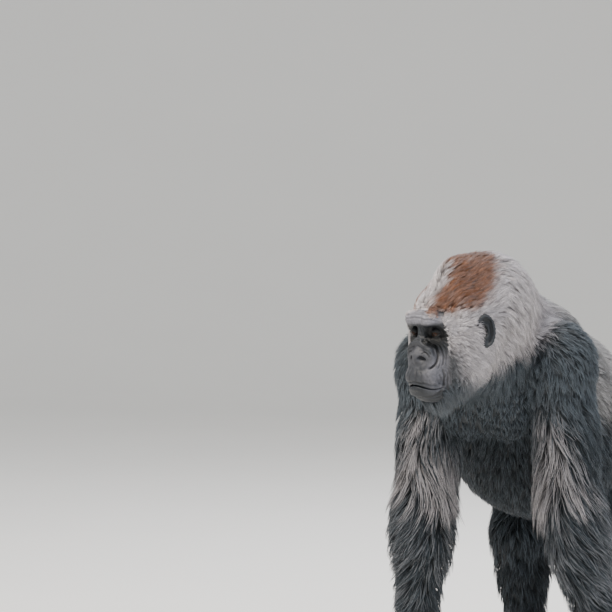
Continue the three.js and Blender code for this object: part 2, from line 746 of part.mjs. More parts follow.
// Along a lock from its root: the share of its length, of its width and of its thickness.
const LOCK_RINGS = [
  [0, 0.7, 1.1],
  [0.3, 1, 1],
  [0.6, 0.9, 0.8],
  [0.84, 0.55, 0.55],
];

// A repeatable random number from 0 to 1.
let seed = 7;
function random() {
  seed = (Math.imul(seed, 1664525) + 1013904223) >>> 0;
  return seed / 4294967296;
}
const vary = (amount) => 1 + amount * (2 * random() - 1);

function gradient([x, y, z]) {
  const e = 2;
  const g = [
    FIELD.at(x + e, y, z) - FIELD.at(x - e, y, z),
    FIELD.at(x, y + e, z) - FIELD.at(x, y - e, z),
    FIELD.at(x, y, z + e) - FIELD.at(x, y, z - e),
  ];
  return unit(g);
}

const plus = (a, b, k = 1) => a.map((v, i) => v + b[i] * k);
const unit = (v) => {
  const size = Math.hypot(...v) || 1;
  return v.map((x) => x / size);
};

// The nearest point of the body's surface, lifted by height.
function onSurface(p, height = 0) {
  const near = plus(p, gradient(p), -FIELD.at(...p));
  return plus(near, gradient(near), height - FIELD.at(...near));
}

// Where a ray out of the body meets its surface.
function surfaceFrom(inside, way) {
  let r = 10;
  while (r < 400 && FIELD.at(...plus(inside, way, r)) < 0) r += 6;
  for (let step = 3; step > 0.2; step /= 2) r += FIELD.at(...plus(inside, way, r)) < 0 ? step : -step;
  return plus(inside, way, r);
}

// One lock: it leaves the surface at root, follows lie over the body, bends aside and lifts towards its tip.
function lock(root, lie, { length, width, rise }, allowed) {
  const drift = LOCK_BEND * (2 * random() - 1);
  const path = [];
  let p = root;
  for (let i = 0; i <= LOCK_RINGS.length; i++) {
    const n = gradient(p);
    const flow = lie(p);
    const ahead = unit(plus(flow, n, -dot(flow, n)));
    const t = i < LOCK_RINGS.length ? LOCK_RINGS[i][0] : 1;
    const d = unit(plus(ahead, cross(n, ahead), drift * t));
    path.push({ p, n, d });
    const next = i + 1 < LOCK_RINGS.length ? LOCK_RINGS[i + 1][0] : 1;
    p = onSurface(plus(p, d, length * (next - t)));
    if (!allowed(p)) return null;
  }
  const rings = LOCK_RINGS.map(([t, wide, thick], i) => {
    const { p, n, d } = path[i];
    const lift = -SUNK + (SUNK + rise) * t;
    const edge = (side) => onSurface(plus(p, cross(n, d), (side * width * wide) / 2), lift);
    return [edge(1), plus(p, n, lift + LOCK_THICK * thick), edge(-1)];
  });
  const start = path[0];
  const end = path.at(-1);
  return sweep(plus(plus(start.p, start.n, -18), start.d, -4), rings, plus(end.p, end.n, rise + 2));
}

function addLocks(name, locks) {
  const found = locks.filter(Boolean);
  nodes[name] = largest(found.reduce((solid, one) => solid.add(one), nodes[name]));
}

// Locks that start where rays from inside the body come out: rays is a list of [point inside, way out].
function locksAt(rays, lie, size, allowed) {
  return rays.map(([inside, way]) => {
    const [length, width, rise] = [size.length * vary(0.12), size.width * vary(0.1), size.rise * vary(0.3)];
    const out = unit(plus(way, [random() - 0.5, random() - 0.5, random() - 0.5], 0.12));
    return lock(surfaceFrom(inside, out), lie, { length, width, rise }, allowed);
  });
}

// Rays out of a limb from a to b at t, at angles from its outer side, where back is 90 degrees.
function raysRound(a, b, s, t, angles) {
  return angles.map((angle) => {
    const turn = THREE.MathUtils.degToRad(angle);
    return [between(a, b, t), [s * Math.cos(turn), Math.sin(turn), 0]];
  });
}

const TRUNK = blend(45, [torsoField(), neckField()]);
const beyond = (p, at, normal) => dot(sub(p, at), unit(normal));

function armLocks(side) {
  const s = SIDES[side];
  const { shoulder, elbow, wrist } = ARMS[side];
  const down = unit(sub(elbow, shoulder));
  const up = unit(sub(elbow, wrist));
  const acrossElbow = sub(shoulder, wrist);
  const overArm = (p) => beyond(p, elbow, acrossElbow) > 5 && TRUNK.at(...p) > 14;
  const armLie = () => unit(plus(down, [0, 0.42, 0]));
  const locks = [];
  for (const [t, angles] of [
    [0.1, [-50, -12, 26]],
    [0.32, [-74, -34, 6, 46]],
    [0.54, [-86, -40, 5, 50]],
  ]) {
    const rays = raysRound(shoulder, elbow, s, t, angles);
    locks.push(...locksAt(rays, armLie, { length: 150, width: 70, rise: 17 }, overArm));
  }
  addLocks("upper_arm_" + side, locks);
  // The hair of the forearm lies up and back, to a tuft behind the elbow.
  const overForearm = (p) => beyond(p, elbow, acrossElbow) < -5 && beyond(p, wrist, up) > 5;
  const foreLie = () => unit(plus(up, [s * 0.12, 0.55, 0]));
  const fore = [];
  for (const [t, angles] of [
    [0.86, [-40, 30, 95]],
    [0.6, [-25, 35, 95]],
    [0.36, [-5, 50, 100]],
  ]) {
    const rays = raysRound(elbow, wrist, s, t, angles);
    fore.push(...locksAt(rays, foreLie, { length: 118, width: 72, rise: 17 }, overForearm));
  }
  addLocks("forearm_" + side, fore);
}

function legLocks(side) {
  const s = SIDES[side];
  const { hip, knee, ankle } = LEGS[side];
  const acrossKnee = sub(hip, ankle);
  const up = unit(sub(knee, ankle));
  const overThigh = (p) => beyond(p, knee, acrossKnee) > 5;
  const overShin = (p) => beyond(p, knee, acrossKnee) < -5 && beyond(p, ankle, [0, -0.25, 1]) > 8;
  const thigh = [];
  for (const [t, angles] of [
    [0.42, [-60, 0]],
    [0.7, [-30, 30, 90]],
  ]) {
    const rays = raysRound(hip, knee, s, t, angles);
    thigh.push(...locksAt(rays, () => [0, 0.35, -1], { length: 105, width: 70, rise: 8 }, overThigh));
  }
  addLocks("thigh_" + side, thigh);
  const rays = raysRound(knee, ankle, s, 0.3, [0, 60, 115]);
  addLocks("shin_" + side, locksAt(rays, () => plus([0, 0.3, 0], up, -1), { length: 95, width: 62, rise: 8 }, overShin));
}

// The ruff of the cheeks and the beard, which lie down and back from the face.
function headLocks() {
  const rays = Object.values(SIDES).flatMap((s) =>
    [
      [[s * 50, 40, -90], [s * 0.9, 0.25, -0.4]],
      [[s * 44, 56, -110], [s * 0.7, 0.2, -0.8]],
      [[s * 26, 10, -140], [s * 0.5, 0.1, -1]],
    ].map(([p, way]) => [inHead(p), direction(way)]),
  );
  const inFront = (p) => beyond(p, inHead([0, 150, 0]), direction([0, 0.888, -0.46])) < -8;
  const lie = () => direction([0, -0.1, -1]);
  addLocks("head", locksAt(rays, lie, { length: 60, width: 46, rise: 7 }, inFront));
}

// Longer hair hangs from the loins over the flank and along the belly.
function trunkLocks() {
  const inAbdomen = (p) => beyond(p, [0, 235, 750], [0, 1, 0.12]) > 6 && beyond(p, [0, 530, 720], [0, 1, 0.3]) < -6;
  const lie = () => [0, 0.5, -1];
  const rays = Object.values(SIDES).flatMap((s) => [
    [[0, 350, 690], [s, -0.1, -0.1]],
    [[0, 320, 690], [s * 0.8, -0.1, -0.65]],
  ]);
  const clearOfLegs = (p) => inAbdomen(p) && LIMBS.every((limb) => limb.at(...p) > 16);
  addLocks("abdomen", locksAt(rays, lie, { length: 95, width: 72, rise: 8 }, clearOfLegs));
}

const LIMBS = Object.keys(SIDES).flatMap((name) => [armField(ARMS[name]), legField(LEGS[name])]);

// ---------------------------------------------------------------- eyes, ears, nose and mouth

const EAR = { thick: 8, wide: 23, high: 33 };

// A frame on the head: its origin, and the way its Z (out) and Y (up) point.
function onHead(at, out, up = [0, 0, 1]) {
  const z = new THREE.Vector3(...out).normalize();
  const x = new THREE.Vector3(...up).cross(z).normalize();
  const y = new THREE.Vector3().crossVectors(z, x);
  return HEAD.clone().multiply(new THREE.Matrix4().makeBasis(x, y, z).setPosition(...at));
}

const moved = (frame, at) => frame.clone().multiply(new THREE.Matrix4().makeTranslation(...at));

// An eyeball behind an upper and a lower lid, with an almond opening between them.
function eye(side) {
  const s = SIDES[side];
  const at = [(s * EYE_SPACING) / 2, 0, 0];
  const place = onHead(at, [s * 0.16, -1, -0.05]);
  const r = EYE_RADIUS;
  const lids = ball([r + 3.2, r + 3.2, r + 3.2], place, 3);
  const almond = new THREE.Shape();
  const [w, up, down] = [13.5, 5.4, 4.2];
  almond.moveTo(-w, -1);
  almond.quadraticCurveTo(-w * 0.2, up * 2, w, 0);
  almond.quadraticCurveTo(0, -down * 2, -w, -1);
  const opening = new THREE.ExtrudeGeometry(almond, { depth: 30, bevelEnabled: false, curveSegments: 6 });
  const socket = ball([r + GAP, r + GAP, r + GAP], place, 2);
  nodes.head = nodes.head.add(lids).subtract(solidFrom(opening, place)).subtract(socket);
  nodes["eye_" + side] = ball([r, r, r], place, 2);
}

// A cupped ear in a pocket of the head, its back edge standing out.
function ear(side) {
  const s = SIDES[side];
  const place = onHead([s * 107, 106, -16], [s * 0.9, -0.42, 0.08], [0, 0.16, 1]);
  const { wide, high, thick } = EAR;
  const shell = (by) => ball([wide + by, high + by, thick + by], place, 2);
  const cup = ball([wide * 0.7, high * 0.72, thick], moved(place, [0, 2, thick * 0.85]), 2);
  const canal = ball([7, 10, 12], moved(place, [-s * 5, -4, 4]), 0);
  const fold = ball([3.4, 15, 4], moved(place, [s * 6, 4, thick * 0.45]), 1);
  const lobe = ball([9, 10, 5], moved(place, [-s * 4, -high + 6, 1]), 1);
  nodes["ear_" + side] = largest(shell(0).subtract(cup).add(fold).add(lobe).subtract(canal));
  const pocket = shell(GAP).add(ball([9.5, 10.5, 5.5], moved(place, [-s * 4, -high + 6, 1]), 1));
  nodes.head = nodes.head.subtract(pocket);
}

// The line between the lips, from corner (-1) to corner (1).
function mouthLine(t) {
  const u = Math.abs(t);
  return [44 * t, -73 + 44 * u ** 2.6, -106 - 15 * u ** 2];
}

function noseAndMouth() {
  const nostrils = both((s) => ball([6.5, 9, 16], onHead([s * 18.5, -50, -53], [s * 0.25, -0.8, -0.55]), 2));
  const mouth = [];
  for (let i = -8; i <= 8; i++) {
    const [x, y, z] = mouthLine(i / 8);
    const [wide, deep] = [3.4 - 0.16 * Math.abs(i), 7];
    mouth.push([[x, y - deep, z + wide], [x, y + deep, z], [x, y - deep, z - wide]].map(inHead));
  }
  nodes.head = nodes.head.subtract(sweep(inHead(mouthLine(-1.06)), mouth, inHead(mouthLine(1.06))));
  for (const cut of nostrils) nodes.head = nodes.head.subtract(cut);
}

trunkAndLimbs();
head();
for (const side of Object.keys(SIDES)) {
  eye(side);
  ear(side);
}
noseAndMouth();
nodes.head = largest(nodes.head);
for (const side of Object.keys(SIDES)) {
  hand(side);
  foot(side);
  armLocks(side);
  legLocks(side);
}
headLocks();
trunkLocks();

// ---------------------------------------------------------------- the object

const bareSkin = { color: 0x33363c, roughness: 0.55 };
const darkCoat = { color: 0x262a31, roughness: 0.85 };
const MATERIALS = {
  eye: { color: 0x20130c, roughness: 0.15 },
  ear: bareSkin,
  hand: bareSkin,
  foot: bareSkin,
  head: { color: 0x8d8782, roughness: 0.8 },
  neck: { color: 0x9a9692, roughness: 0.85 },
  abdomen: { color: 0x7d7976, roughness: 0.85 },
  pelvis: { color: 0x6c6967, roughness: 0.85 },
};

const gorilla = new THREE.Group();
const box = new THREE.Box3();
for (const [name, solid] of Object.entries(nodes)) {
  const kind = name.split("_")[0];
  const mesh = new THREE.Mesh(geometryOf(solid), new THREE.MeshStandardMaterial(MATERIALS[kind] ?? darkCoat));
  mesh.name = name;
  mesh.castShadow = true;
  gorilla.add(mesh);
  box.expandByObject(mesh);
}
const middle = box.getCenter(new THREE.Vector3());
gorilla.position.set(-middle.x, -middle.y, -box.min.z);

export default gorilla;
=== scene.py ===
"""A silverback western lowland gorilla at life size, dressed around its solids.

One skin, with the face modelled in it, replaces the solids of the flesh. The eyeballs, ears and nails are
pieces of their own, and the coat is a mesh of tapered strands, in tufts that follow the lie of the hair.
The flesh is a field of rounded masses, in millimetres, in the frame in which the body was laid out.
"""

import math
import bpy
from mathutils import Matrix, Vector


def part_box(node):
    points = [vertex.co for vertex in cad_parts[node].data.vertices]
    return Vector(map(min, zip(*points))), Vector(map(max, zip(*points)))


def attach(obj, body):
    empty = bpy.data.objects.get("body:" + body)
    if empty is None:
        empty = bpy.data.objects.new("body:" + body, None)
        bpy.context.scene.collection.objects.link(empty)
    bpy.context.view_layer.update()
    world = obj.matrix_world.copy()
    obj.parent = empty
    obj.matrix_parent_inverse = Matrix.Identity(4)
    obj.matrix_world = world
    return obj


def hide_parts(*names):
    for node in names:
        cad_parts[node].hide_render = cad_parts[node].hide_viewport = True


bl_info = {
    "name": "Silverback gorilla",
    "version": (1, 0, 0),
    "blender": (4, 5, 0),
    "location": "3D View > Sidebar > Gorilla",
    "description": "Dresses the solids of a life-size gorilla with skin, eyes, ears, nails and coat",
    "category": "Object",
}

import bpy
import numpy as np
import openvdb
from bpy.props import FloatProperty, FloatVectorProperty, PointerProperty
from bpy.types import Operator, Panel, PropertyGroup
from mathutils import Matrix, Vector

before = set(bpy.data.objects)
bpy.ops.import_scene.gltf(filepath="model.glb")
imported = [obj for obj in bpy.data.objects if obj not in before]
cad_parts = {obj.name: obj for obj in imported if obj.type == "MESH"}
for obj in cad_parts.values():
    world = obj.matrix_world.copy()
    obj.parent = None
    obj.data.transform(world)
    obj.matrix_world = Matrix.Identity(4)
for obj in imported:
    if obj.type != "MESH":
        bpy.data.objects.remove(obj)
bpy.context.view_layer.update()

MM = 0.001
SIDES = {"left": 1, "right": -1}


def linear(sheet):
    """The linear colour of an sRGB hex value."""
    parts = [int(sheet[i : i + 2], 16) / 255 for i in (1, 3, 5)]
    return tuple(c / 12.92 if c <= 0.04045 else ((c + 0.055) / 1.055) ** 2.4 for c in parts)


# ------------------------------------------------------------------ sizes and colours that a user changes


def size_property(name, description, default):
    return FloatProperty(name=name, description=description, default=default, unit="LENGTH")


def colour_property(name, description, sheet):
    return FloatVectorProperty(name=name, description=description, default=linear(sheet), subtype="COLOR")


class GorillaSkinSizes(PropertyGroup):
    body_cell: size_property("Body cell", "Mesh size of the skin under the coat", 0.015)
    face_cell: size_property("Face cell", "Mesh size of the face", 0.0017)
    hand_cell: size_property("Hand cell", "Mesh size of hands and feet", 0.0043)
    ear_cell: size_property("Ear cell", "Mesh size of the ears", 0.0012)
    crease: size_property("Creases", "Depth of the deepest crease of the face", 0.0024)
    iris: size_property("Iris", "Radius of the iris", 0.0075)


class GorillaCoatSizes(PropertyGroup):
    head: size_property("Head hair", "Length of the hair on crown and temples", 0.040)
    cheek: size_property("Cheek hair", "Length of the ruff of cheeks and jaw", 0.046)
    neck: size_property("Neck hair", "Length of the hair of the neck", 0.055)
    back: size_property("Back hair", "Length of the hair of back and rump", 0.045)
    belly: size_property("Belly hair", "Length of the hair of belly and flanks", 0.062)
    chest: size_property("Chest hair", "Length of the short hair of the chest", 0.026)
    upper_arm: size_property("Upper arm hair", "Length of the hair from shoulder to elbow", 0.092)
    forearm: size_property("Forearm hair", "Length of the hair from wrist to elbow", 0.086)
    thigh: size_property("Thigh hair", "Length of the hair of the thigh", 0.066)
    shin: size_property("Shin hair", "Length of the hair of the lower leg", 0.055)


class GorillaColours(PropertyGroup):
    frost: colour_property("Frosted grey", "Cheeks, temples and neck", "#c4bfc1")
    rust: colour_property("Rust", "The cap of the crown", "#7c4a22")
    dark: colour_property("Blue-black", "Arms, chest, belly and legs", "#262f36")
    slate: colour_property("Slate", "Paler hairs among the dark ones", "#717b84")
    silver: colour_property("Silver", "The saddle of the back", "#a09e9d")
    skin: colour_property("Bare skin", "Face, ears, hands and feet", "#202429")
    # Painted highlight: the paler colour of brow, muzzle, nose and cheeks where light catches them.
    highlight_skin: colour_property("Highlit skin", "Brow, muzzle and cheeks", "#84838b")
    iris: colour_property("Iris", "Colour of the iris", "#2c180c")
    nail: colour_property("Nail", "Colour of the nails", "#2b2826")


class GorillaSettings(PropertyGroup):
    skin: PointerProperty(type=GorillaSkinSizes)
    coat: PointerProperty(type=GorillaCoatSizes)
    colours: PointerProperty(type=GorillaColours)


# ------------------------------------------------------------------ fields of rounded masses, in millimetres

FAR_OFF = 1000.0
OWN_SHAPE_WITHIN = 60  # past this distance a mass counts as a ball around it


class Mass:
    """A signed distance: at(points) is below zero inside, and all of it lies within reach of its centre."""

    def __init__(self, centre, reach, at):
        self.centre = np.asarray(centre, float)
        self.reach = reach
        self.at = at


def smooth_min(a, b, k):
    h = np.maximum(k - np.abs(a - b), 0) / k
    return np.minimum(a, b) - h * h * k / 4


def cone(a, b, ra, rb, fur=0.0):
    """A rounded cone from a to b: a limb segment or a ridge."""
    a, b = np.asarray(a, float), np.asarray(b, float)
    d = b - a
    dd = d @ d

    def at(p):
        q = p - a
        h = np.clip(q @ d / dd, 0, 1)
        return np.linalg.norm(q - h[:, None] * d, axis=1) - (ra + (rb - ra) * h) - fur

    return Mass((a + b) / 2, math.sqrt(dd) / 2 + max(ra, rb) + fur, at)


def lump(centre, radii, fur=0.0, turn=np.eye(3)):
    """An ellipsoid with its half sizes, its axes turned by turn."""
    centre, r = np.asarray(centre, float), np.asarray(radii, float) + fur

    def at(p):
        q = (p - centre) @ turn / r
        k0 = np.linalg.norm(q, axis=1)
        k1 = np.maximum(np.linalg.norm(q / r, axis=1), 1e-9)
        return k0 * (k0 - 1) / k1

    return Mass(centre, max(r), at)


def blend(k, masses):
    """Masses joined with rounding k. Far from one, only its rough distance is used."""
    lo = np.min([m.centre - m.reach for m in masses], axis=0)
    hi = np.max([m.centre + m.reach for m in masses], axis=0)
    far = 2 * k + OWN_SHAPE_WITHIN

    def at(p):
        found = np.full(len(p), FAR_OFF)
        for m in masses:
            off = np.linalg.norm(p - m.centre, axis=1) - m.reach
            near = off <= far
            found = np.where(near, found, np.minimum(found, off))
            if near.any():
                found[near] = smooth_min(found[near], m.at(p[near]), k)
        return found

    return Mass((lo + hi) / 2, np.linalg.norm(hi - lo) / 2, at)


def hollowed(field, k, hollows):
    """A field with hollows taken out of it, each edge rounded over k."""

    def at(p):
        found = field.at(p)
        for h in hollows:
            found = -smooth_min(-found, h.at(p), k)
        return found

    return Mass(field.centre, field.reach, at)


def depth_and_way(field, p, e=2.0):
    """A field's value at points, and the unit way out of it."""
    value = field.at(p)
    return value, unit(np.stack([field.at(p + e * axis) - value for axis in np.eye(3)], axis=1))


def unit(v):
    return v / np.maximum(np.linalg.norm(v, axis=-1, keepdims=True), 1e-9)


def turned(axis, degrees):
    return np.array(Matrix.Rotation(math.radians(degrees), 3, axis))


def between(a, b, t, off=(0, 0, 0)):
    return np.asarray(a, float) * (1 - t) + np.asarray(b, float) * t + np.asarray(off, float)


def smoothstep(lo, hi, v):
    """0 at lo and 1 at hi, eased between them. With lo above hi it falls instead."""
    t = np.clip((v - lo) / (hi - lo), 0, 1)
    return t * t * (3 - 2 * t)


def mixed(a, b, t):
    """Rows of a and b, mixed by each row's own t."""
    return a * (1 - t[:, None]) + b * t[:, None]


# ------------------------------------------------------------------ the head's frame

EYES_AT = np.array([-42.0, -374.0, 998.0])  # midway between the eyeballs
HEAD_TURN = turned("Z", -24) @ turned("X", 16)  # to its own right, and down
EYE_SPACING = 74.0
EYE_RADIUS = 12.5

# The solids are centred on the floor, so their eyes tell how far the body's frame was moved.
EYE_BOXES = [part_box("eye_left"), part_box("eye_right")]
SHIFT = np.mean([np.add(lo, hi) / 2 for lo, hi in EYE_BOXES], axis=0) / MM - EYES_AT


def to_scene(p):
    """Points of the body's frame, in metres in the scene."""
    return (np.asarray(p) + SHIFT) * MM


def in_head(p):
    """The place on the body of a point of the head's frame: X to its left, Y back and Z up from the eyes."""
    return EYES_AT + HEAD_TURN @ np.asarray(p, float)


def to_head(points):
    """Points of the body, in the head's frame."""
    return (points - EYES_AT) @ HEAD_TURN


def head_way(v):
    return HEAD_TURN @ (np.asarray(v, float) / np.linalg.norm(v))


def head_cone(a, b, ra, rb, fur=0.0):
    return cone(in_head(a), in_head(b), ra, rb, fur)


def head_lump(c, r, fur=0.0):
    return lump(in_head(c), r, fur, HEAD_TURN)


def both(make):
    """What make gives for the left side and for the right."""
    return [make(1), make(-1)]


def on_head(at, out, up=(0, 0, 1)):
    """A frame on the head: its origin, and axes of which the third points out and the second up."""
    z = unit(np.asarray(out, float))
    x = unit(np.cross(up, z))
    return in_head(at), HEAD_TURN @ np.stack([x, np.cross(z, x), z], axis=1)


# ------------------------------------------------------------------ the body's masses

# The depth of the coat over the skin. A coat of 0 gives the skin, and a coat of 1 the body with its hair.
FUR = {
    "head": 11, "nape": 16, "cheek": 14, "chin": 14, "chest": 8,
    "back": 13, "belly": 14, "rump": 12, "arm": 14, "leg": 14,
}

ARMS = {
    "left": {"shoulder": (174, -8, 902), "elbow": (214, 12, 522), "wrist": (262, 90, 168)},
    "right": {"shoulder": (-168, -2, 884), "elbow": (-200, 8, 522), "wrist": (-228, 16, 168)},
}
LEGS = {
    "left": {"hip": (98, 650, 650), "knee": (165, 478, 385), "ankle": (172, 612, 92), "out": 14},
    "right": {"hip": (-98, 650, 650), "knee": (-114, 494, 388), "ankle": (-126, 600, 92), "out": 10},
}
FINGERS = {"count": 4, "spacing": 30, "radius": 15.5, "knuckle": 84, "ahead": 40, "bed": 12.5}
TOES = {"count": 4, "spacing": 24, "radius": 13, "length": 52, "big": 16}


def head_field(coat):
    f = {name: depth * coat for name, depth in FUR.items()}
    skull = blend(38, [
        head_lump((0, 112, 12), (77, 83, 65), f["head"]),  # braincase
        head_lump((0, 166, 48), (45, 85, 74), f["head"]),  # crest and scalp pad
        head_lump((0, 136, 84), (37, 58, 62), f["head"]),  # front of the crest
        *both(lambda s: head_lump((s * 44, 92, 6), (45, 73, 71), f["head"])),  # temporal muscles
        head_lump((0, 214, -2), (96, 96, 96), f["nape"]),  # nuchal muscles
        *both(lambda s: head_lump((s * 58, 62, -72), (42, 60, 74), f["cheek"])),  # masseters
        head_lump((0, 60, -100), (58, 80, 62), f["chin"]),  # throat between the jaws
    ])
    face = blend(14, [
        head_cone((-30, -8, 38), (30, -8, 38), 16, 16),  # brow bar
        *both(lambda s: head_cone((s * 30, -8, 38), (s * 58, 14, 18), 16, 11)),
        *both(lambda s: head_cone((s * 58, 14, 17), (s * 62, 26, -24), 10, 9)),  # outer rim of the orbit
        head_lump((0, 40, 56), (40, 36, 27), 6 * coat),  # forehead
        *both(lambda s: head_lump((s * 24, -4, -20), (13, 13, 11))),  # beside the nose, under the eye
        *both(lambda s: head_lump((s * 46, 17, -32), (22, 18, 17))),  # cheekbones
        head_lump((0, 24, -20), (58, 36, 52)),  # inner face
        head_cone((0, -6, 18), (0, -27, -34), 11, 15),  # nose bridge
        head_lump((0, -14, -84), (51, 44, 52)),  # muzzle
        head_lump((0, -45, -101), (49, 32, 30)),  # upper lip
        head_lump((0, -44, -135), (45, 33, 22)),  # lower lip
        head_lump((0, -18, -152), (41, 38, 24), 4 * coat),  # chin
        *both(lambda s: head_cone((s * 26, -10, -148), (s * 58, 60, -110), 24, 28, f["chin"])),  # jaw
        head_lump((0, -44, -47), (15, 14, 15)),  # nose tip
        *both(lambda s: head_lump((s * 21, -31, -52), (17, 15, 17))),  # wings of the nose
    ])
    orbits = both(lambda s: head_lump((s * 38, -16, -3), (22, 23, 21)))
    return hollowed(blend(24, [skull, face]), 12, orbits)


def torso_field(coat):
    f = {name: depth * coat for name, depth in FUR.items()}
    return blend(55, [
        lump((0, 50, 862), (130, 160, 145), f["chest"]),  # upper chest
        lump((0, 250, 798), (217, 181, 213), f["back"]),  # ribs
        lump((0, 345, 690), (240, 222, 222), f["belly"]),  # belly
        cone((0, 180, 935), (0, 500, 838), 100, 115, f["back"]),  # long muscles of the back
        lump((0, 470, 790), (185, 225, 135), f["back"]),  # loins
        lump((0, 640, 715), (169, 164, 149), f["rump"]),  # pelvis
        *both(lambda s: lump((s * 80, 700, 650), (92, 104, 114), f["rump"])),  # buttocks
        *both(lambda s: lump((s * 100, 110, 940), (85, 125, 95), f["back"])),  # shoulder blades
        *both(lambda s: lump((s * 58, -62, 795), (62, 56, 85), f["chest"])),  # breast muscles
        cone((0, 150, 935), in_head((0, 235, 20)), 110, 98, f["nape"]),  # trapezius
    ])


def neck_field(coat):
    return blend(50, [
        cone((0, -40, 945), in_head((0, 190, 5)), 120, 102, FUR["nape"] * coat),
        cone((0, -60, 890), in_head((0, 80, -70)), 85, 70, FUR["chest"] * coat),
    ])


def arm_field(arm, coat):
    shoulder, elbow, wrist = arm["shoulder"], arm["elbow"], arm["wrist"]
    fur = FUR["arm"] * coat
    return blend(34, [
        lump(shoulder, (89, 99, 99), fur),  # deltoid
        cone(shoulder, elbow, 77, 57, fur),  # upper arm
        lump(between(shoulder, elbow, 0.52, (0, 14, 0)), (67, 73, 137), fur),  # triceps
        lump(between(elbow, wrist, 0.22), (69, 71, 117), fur),  # forearm muscles
        cone(elbow, wrist, 57, 40, fur * 0.85),
    ])


def leg_field(leg, coat):
    hip, knee, ankle = leg["hip"], leg["knee"], leg["ankle"]
    fur = FUR["leg"] * coat
    return blend(34, [
        cone(hip, knee, 108, 64, fur),
        lump(between(hip, knee, 0.4), (92, 98, 126), fur),
        cone(knee, ankle, 58, 43, fur),
        lump(between(knee, ankle, 0.32, (0, 18, 0)), (60, 62, 101), fur),  # calf
    ])


def finger_points(wrist, i):
    """The points of one finger: knuckle of the hand, middle joint, bend and the curled tip."""
    from_middle = i - (FINGERS["count"] - 1) / 2
    x = wrist[0] + from_middle * FINGERS["spacing"]
    back = wrist[1] - 14
    front = back - (FINGERS["ahead"] - 4 * abs(from_middle))
    bed = FINGERS["bed"]
    return (x, back, FINGERS["knuckle"]), (x, front, bed), (x, front + 40, bed), (x, front + 42, bed + 28)


def hand_field(wrist, s):
    x, y, z = wrist
    r = FINGERS["radius"]
    fingers = []
    for i in range(FINGERS["count"]):
        knuckle, middle, bend, tip = finger_points(wrist, i)
        shaft = between(knuckle, middle, 0.5)
        fingers.append(blend(6, [
            cone(knuckle, shaft, r + 1, r - 1.2),
            cone(shaft, middle, r - 1.2, r + 0.8),
            cone(middle, bend, r, r),
            cone(bend, tip, r - 1, r - 3),
        ]))
    palm = blend(20, [
        cone(wrist, (x, y - 6, z - 40), 38, 40),
        cone((x - 34, y - 10, 106), (x + 34, y - 10, 106), 25, 25),
        lump((x, y - 8, 112), (54, 28, 44)),
    ])
    thumb = blend(8, [
        cone((x - s * 44, y + 2, 122), (x - s * 62, y - 8, 84), 17, 14),
        cone((x - s * 62, y - 8, 84), (x - s * 60, y - 14, 58), 13, 10),
    ])
    return blend(4, [palm, thumb, *fingers])


def foot_points(leg, s):
    """The points of the toes, in order, and of the big toe, on a foot that is turned outwards."""
    turn = turned("Z", leg["out"] * s)
    ankle = np.array([leg["ankle"][0], leg["ankle"][1], 0.0])

    def at(x, y, z):
        return ankle + turn @ np.array([x * s, y, z], float)

    toes = []
    for i in range(TOES["count"]):
        x = 46 - i * TOES["spacing"]
        y = -150 - 12 * i + (8 if i == 3 else 0)
        toes.append((at(x, y, 19), at(x + 2, y - TOES["length"], 14)))
    return at, toes, (at(-58, -118, 21), at(-74, -168, 18))


def foot_field(leg, s):
    at, toes, big = foot_points(leg, s)
    sole = blend(22, [
        cone(at(0, 6, leg["ankle"][2]), at(0, 34, 34), 40, 32),
        cone(at(0, 34, 30), at(8, -60, 40), 30, 30),
        cone(at(26, -50, 28), at(30, -140, 22), 28, 22),
        cone(at(-14, -50, 34), at(-14, -140, 24), 30, 24),
    ])
    big_toe = blend(10, [cone(at(-24, -60, 30), at(-58, -118, 22), 22, 20), cone(*big, 19, TOES["big"])])
    return blend(10, [sole, big_toe, blend(4, [cone(root, tip, 15, TOES["radius"]) for root, tip in toes])])


def whole_trunk(coat, head):
    return blend(45, [torso_field(coat), neck_field(coat), head])


def whole_arm(side, coat):
    arm = ARMS[side]
    return blend(18, [arm_field(arm, coat), hand_field(arm["wrist"], SIDES[side])])


def whole_leg(side, coat):
    leg = LEGS[side]
    return blend(18, [leg_field(leg, coat), foot_field(leg, SIDES[side])])


def body_field(coat):
    limbs = [make(side, coat) for side in SIDES for make in (whole_arm, whole_leg)]
    return blend(26, [whole_trunk(coat, head_field(coat)), *limbs])


# ------------------------------------------------------------------ the face's finer forms

MOUTH_HALF = 48.0
NOSTRIL = {"at": (17.5, -50, -53), "size": (11, 5.2, 15)}


def mouth_line(x):
    """How far forward and how high the line between the lips runs, at x on the head."""
    u = np.minimum(np.abs(x) / MOUTH_HALF, 1)
    return -76 + 45 * u**2.2, -114 - 36 * u**2 + 10 * u**3 + 6 * u**4


def lip_roll(height, back, radius):
    """A roll along a lip, above or below the line of the mouth, that thins out to the corners."""
    xs = np.linspace(-MOUTH_HALF, MOUTH_HALF, 13)
    ys, zs = mouth_line(xs)
    ends = 1 - 0.55 * (np.abs(xs) / MOUTH_HALF) ** 3
    points = [(x, y + back, z + height * end) for x, y, z, end in zip(xs, ys, zs, ends)]
    return blend(3, [
        head_cone(a, b, radius * ea, radius * eb) for a, b, ea, eb in zip(points, points[1:], ends, ends[1:])
    ])


def slit():
    """The cut between the lips."""
    half_height, deep = 1.6, 11

    def at(p):
        q = to_head(p)
        y, z = mouth_line(q[:, 0])
        ends = 1 - 0.3 * np.clip(np.abs(q[:, 0]) / MOUTH_HALF, 0, 1) ** 3
        return np.maximum.reduce([
            np.abs(q[:, 2] - z) - half_height * ends, q[:, 1] - y - deep * ends, np.abs(q[:, 0]) - MOUTH_HALF,
        ])

    return Mass(in_head((0, -60, -118)), 90, at)


def eye_frame(s):
    return on_head((s * EYE_SPACING / 2, 0, 0), (s * 0.16, -1, -0.05), (-s * 0.10, 0, 1))


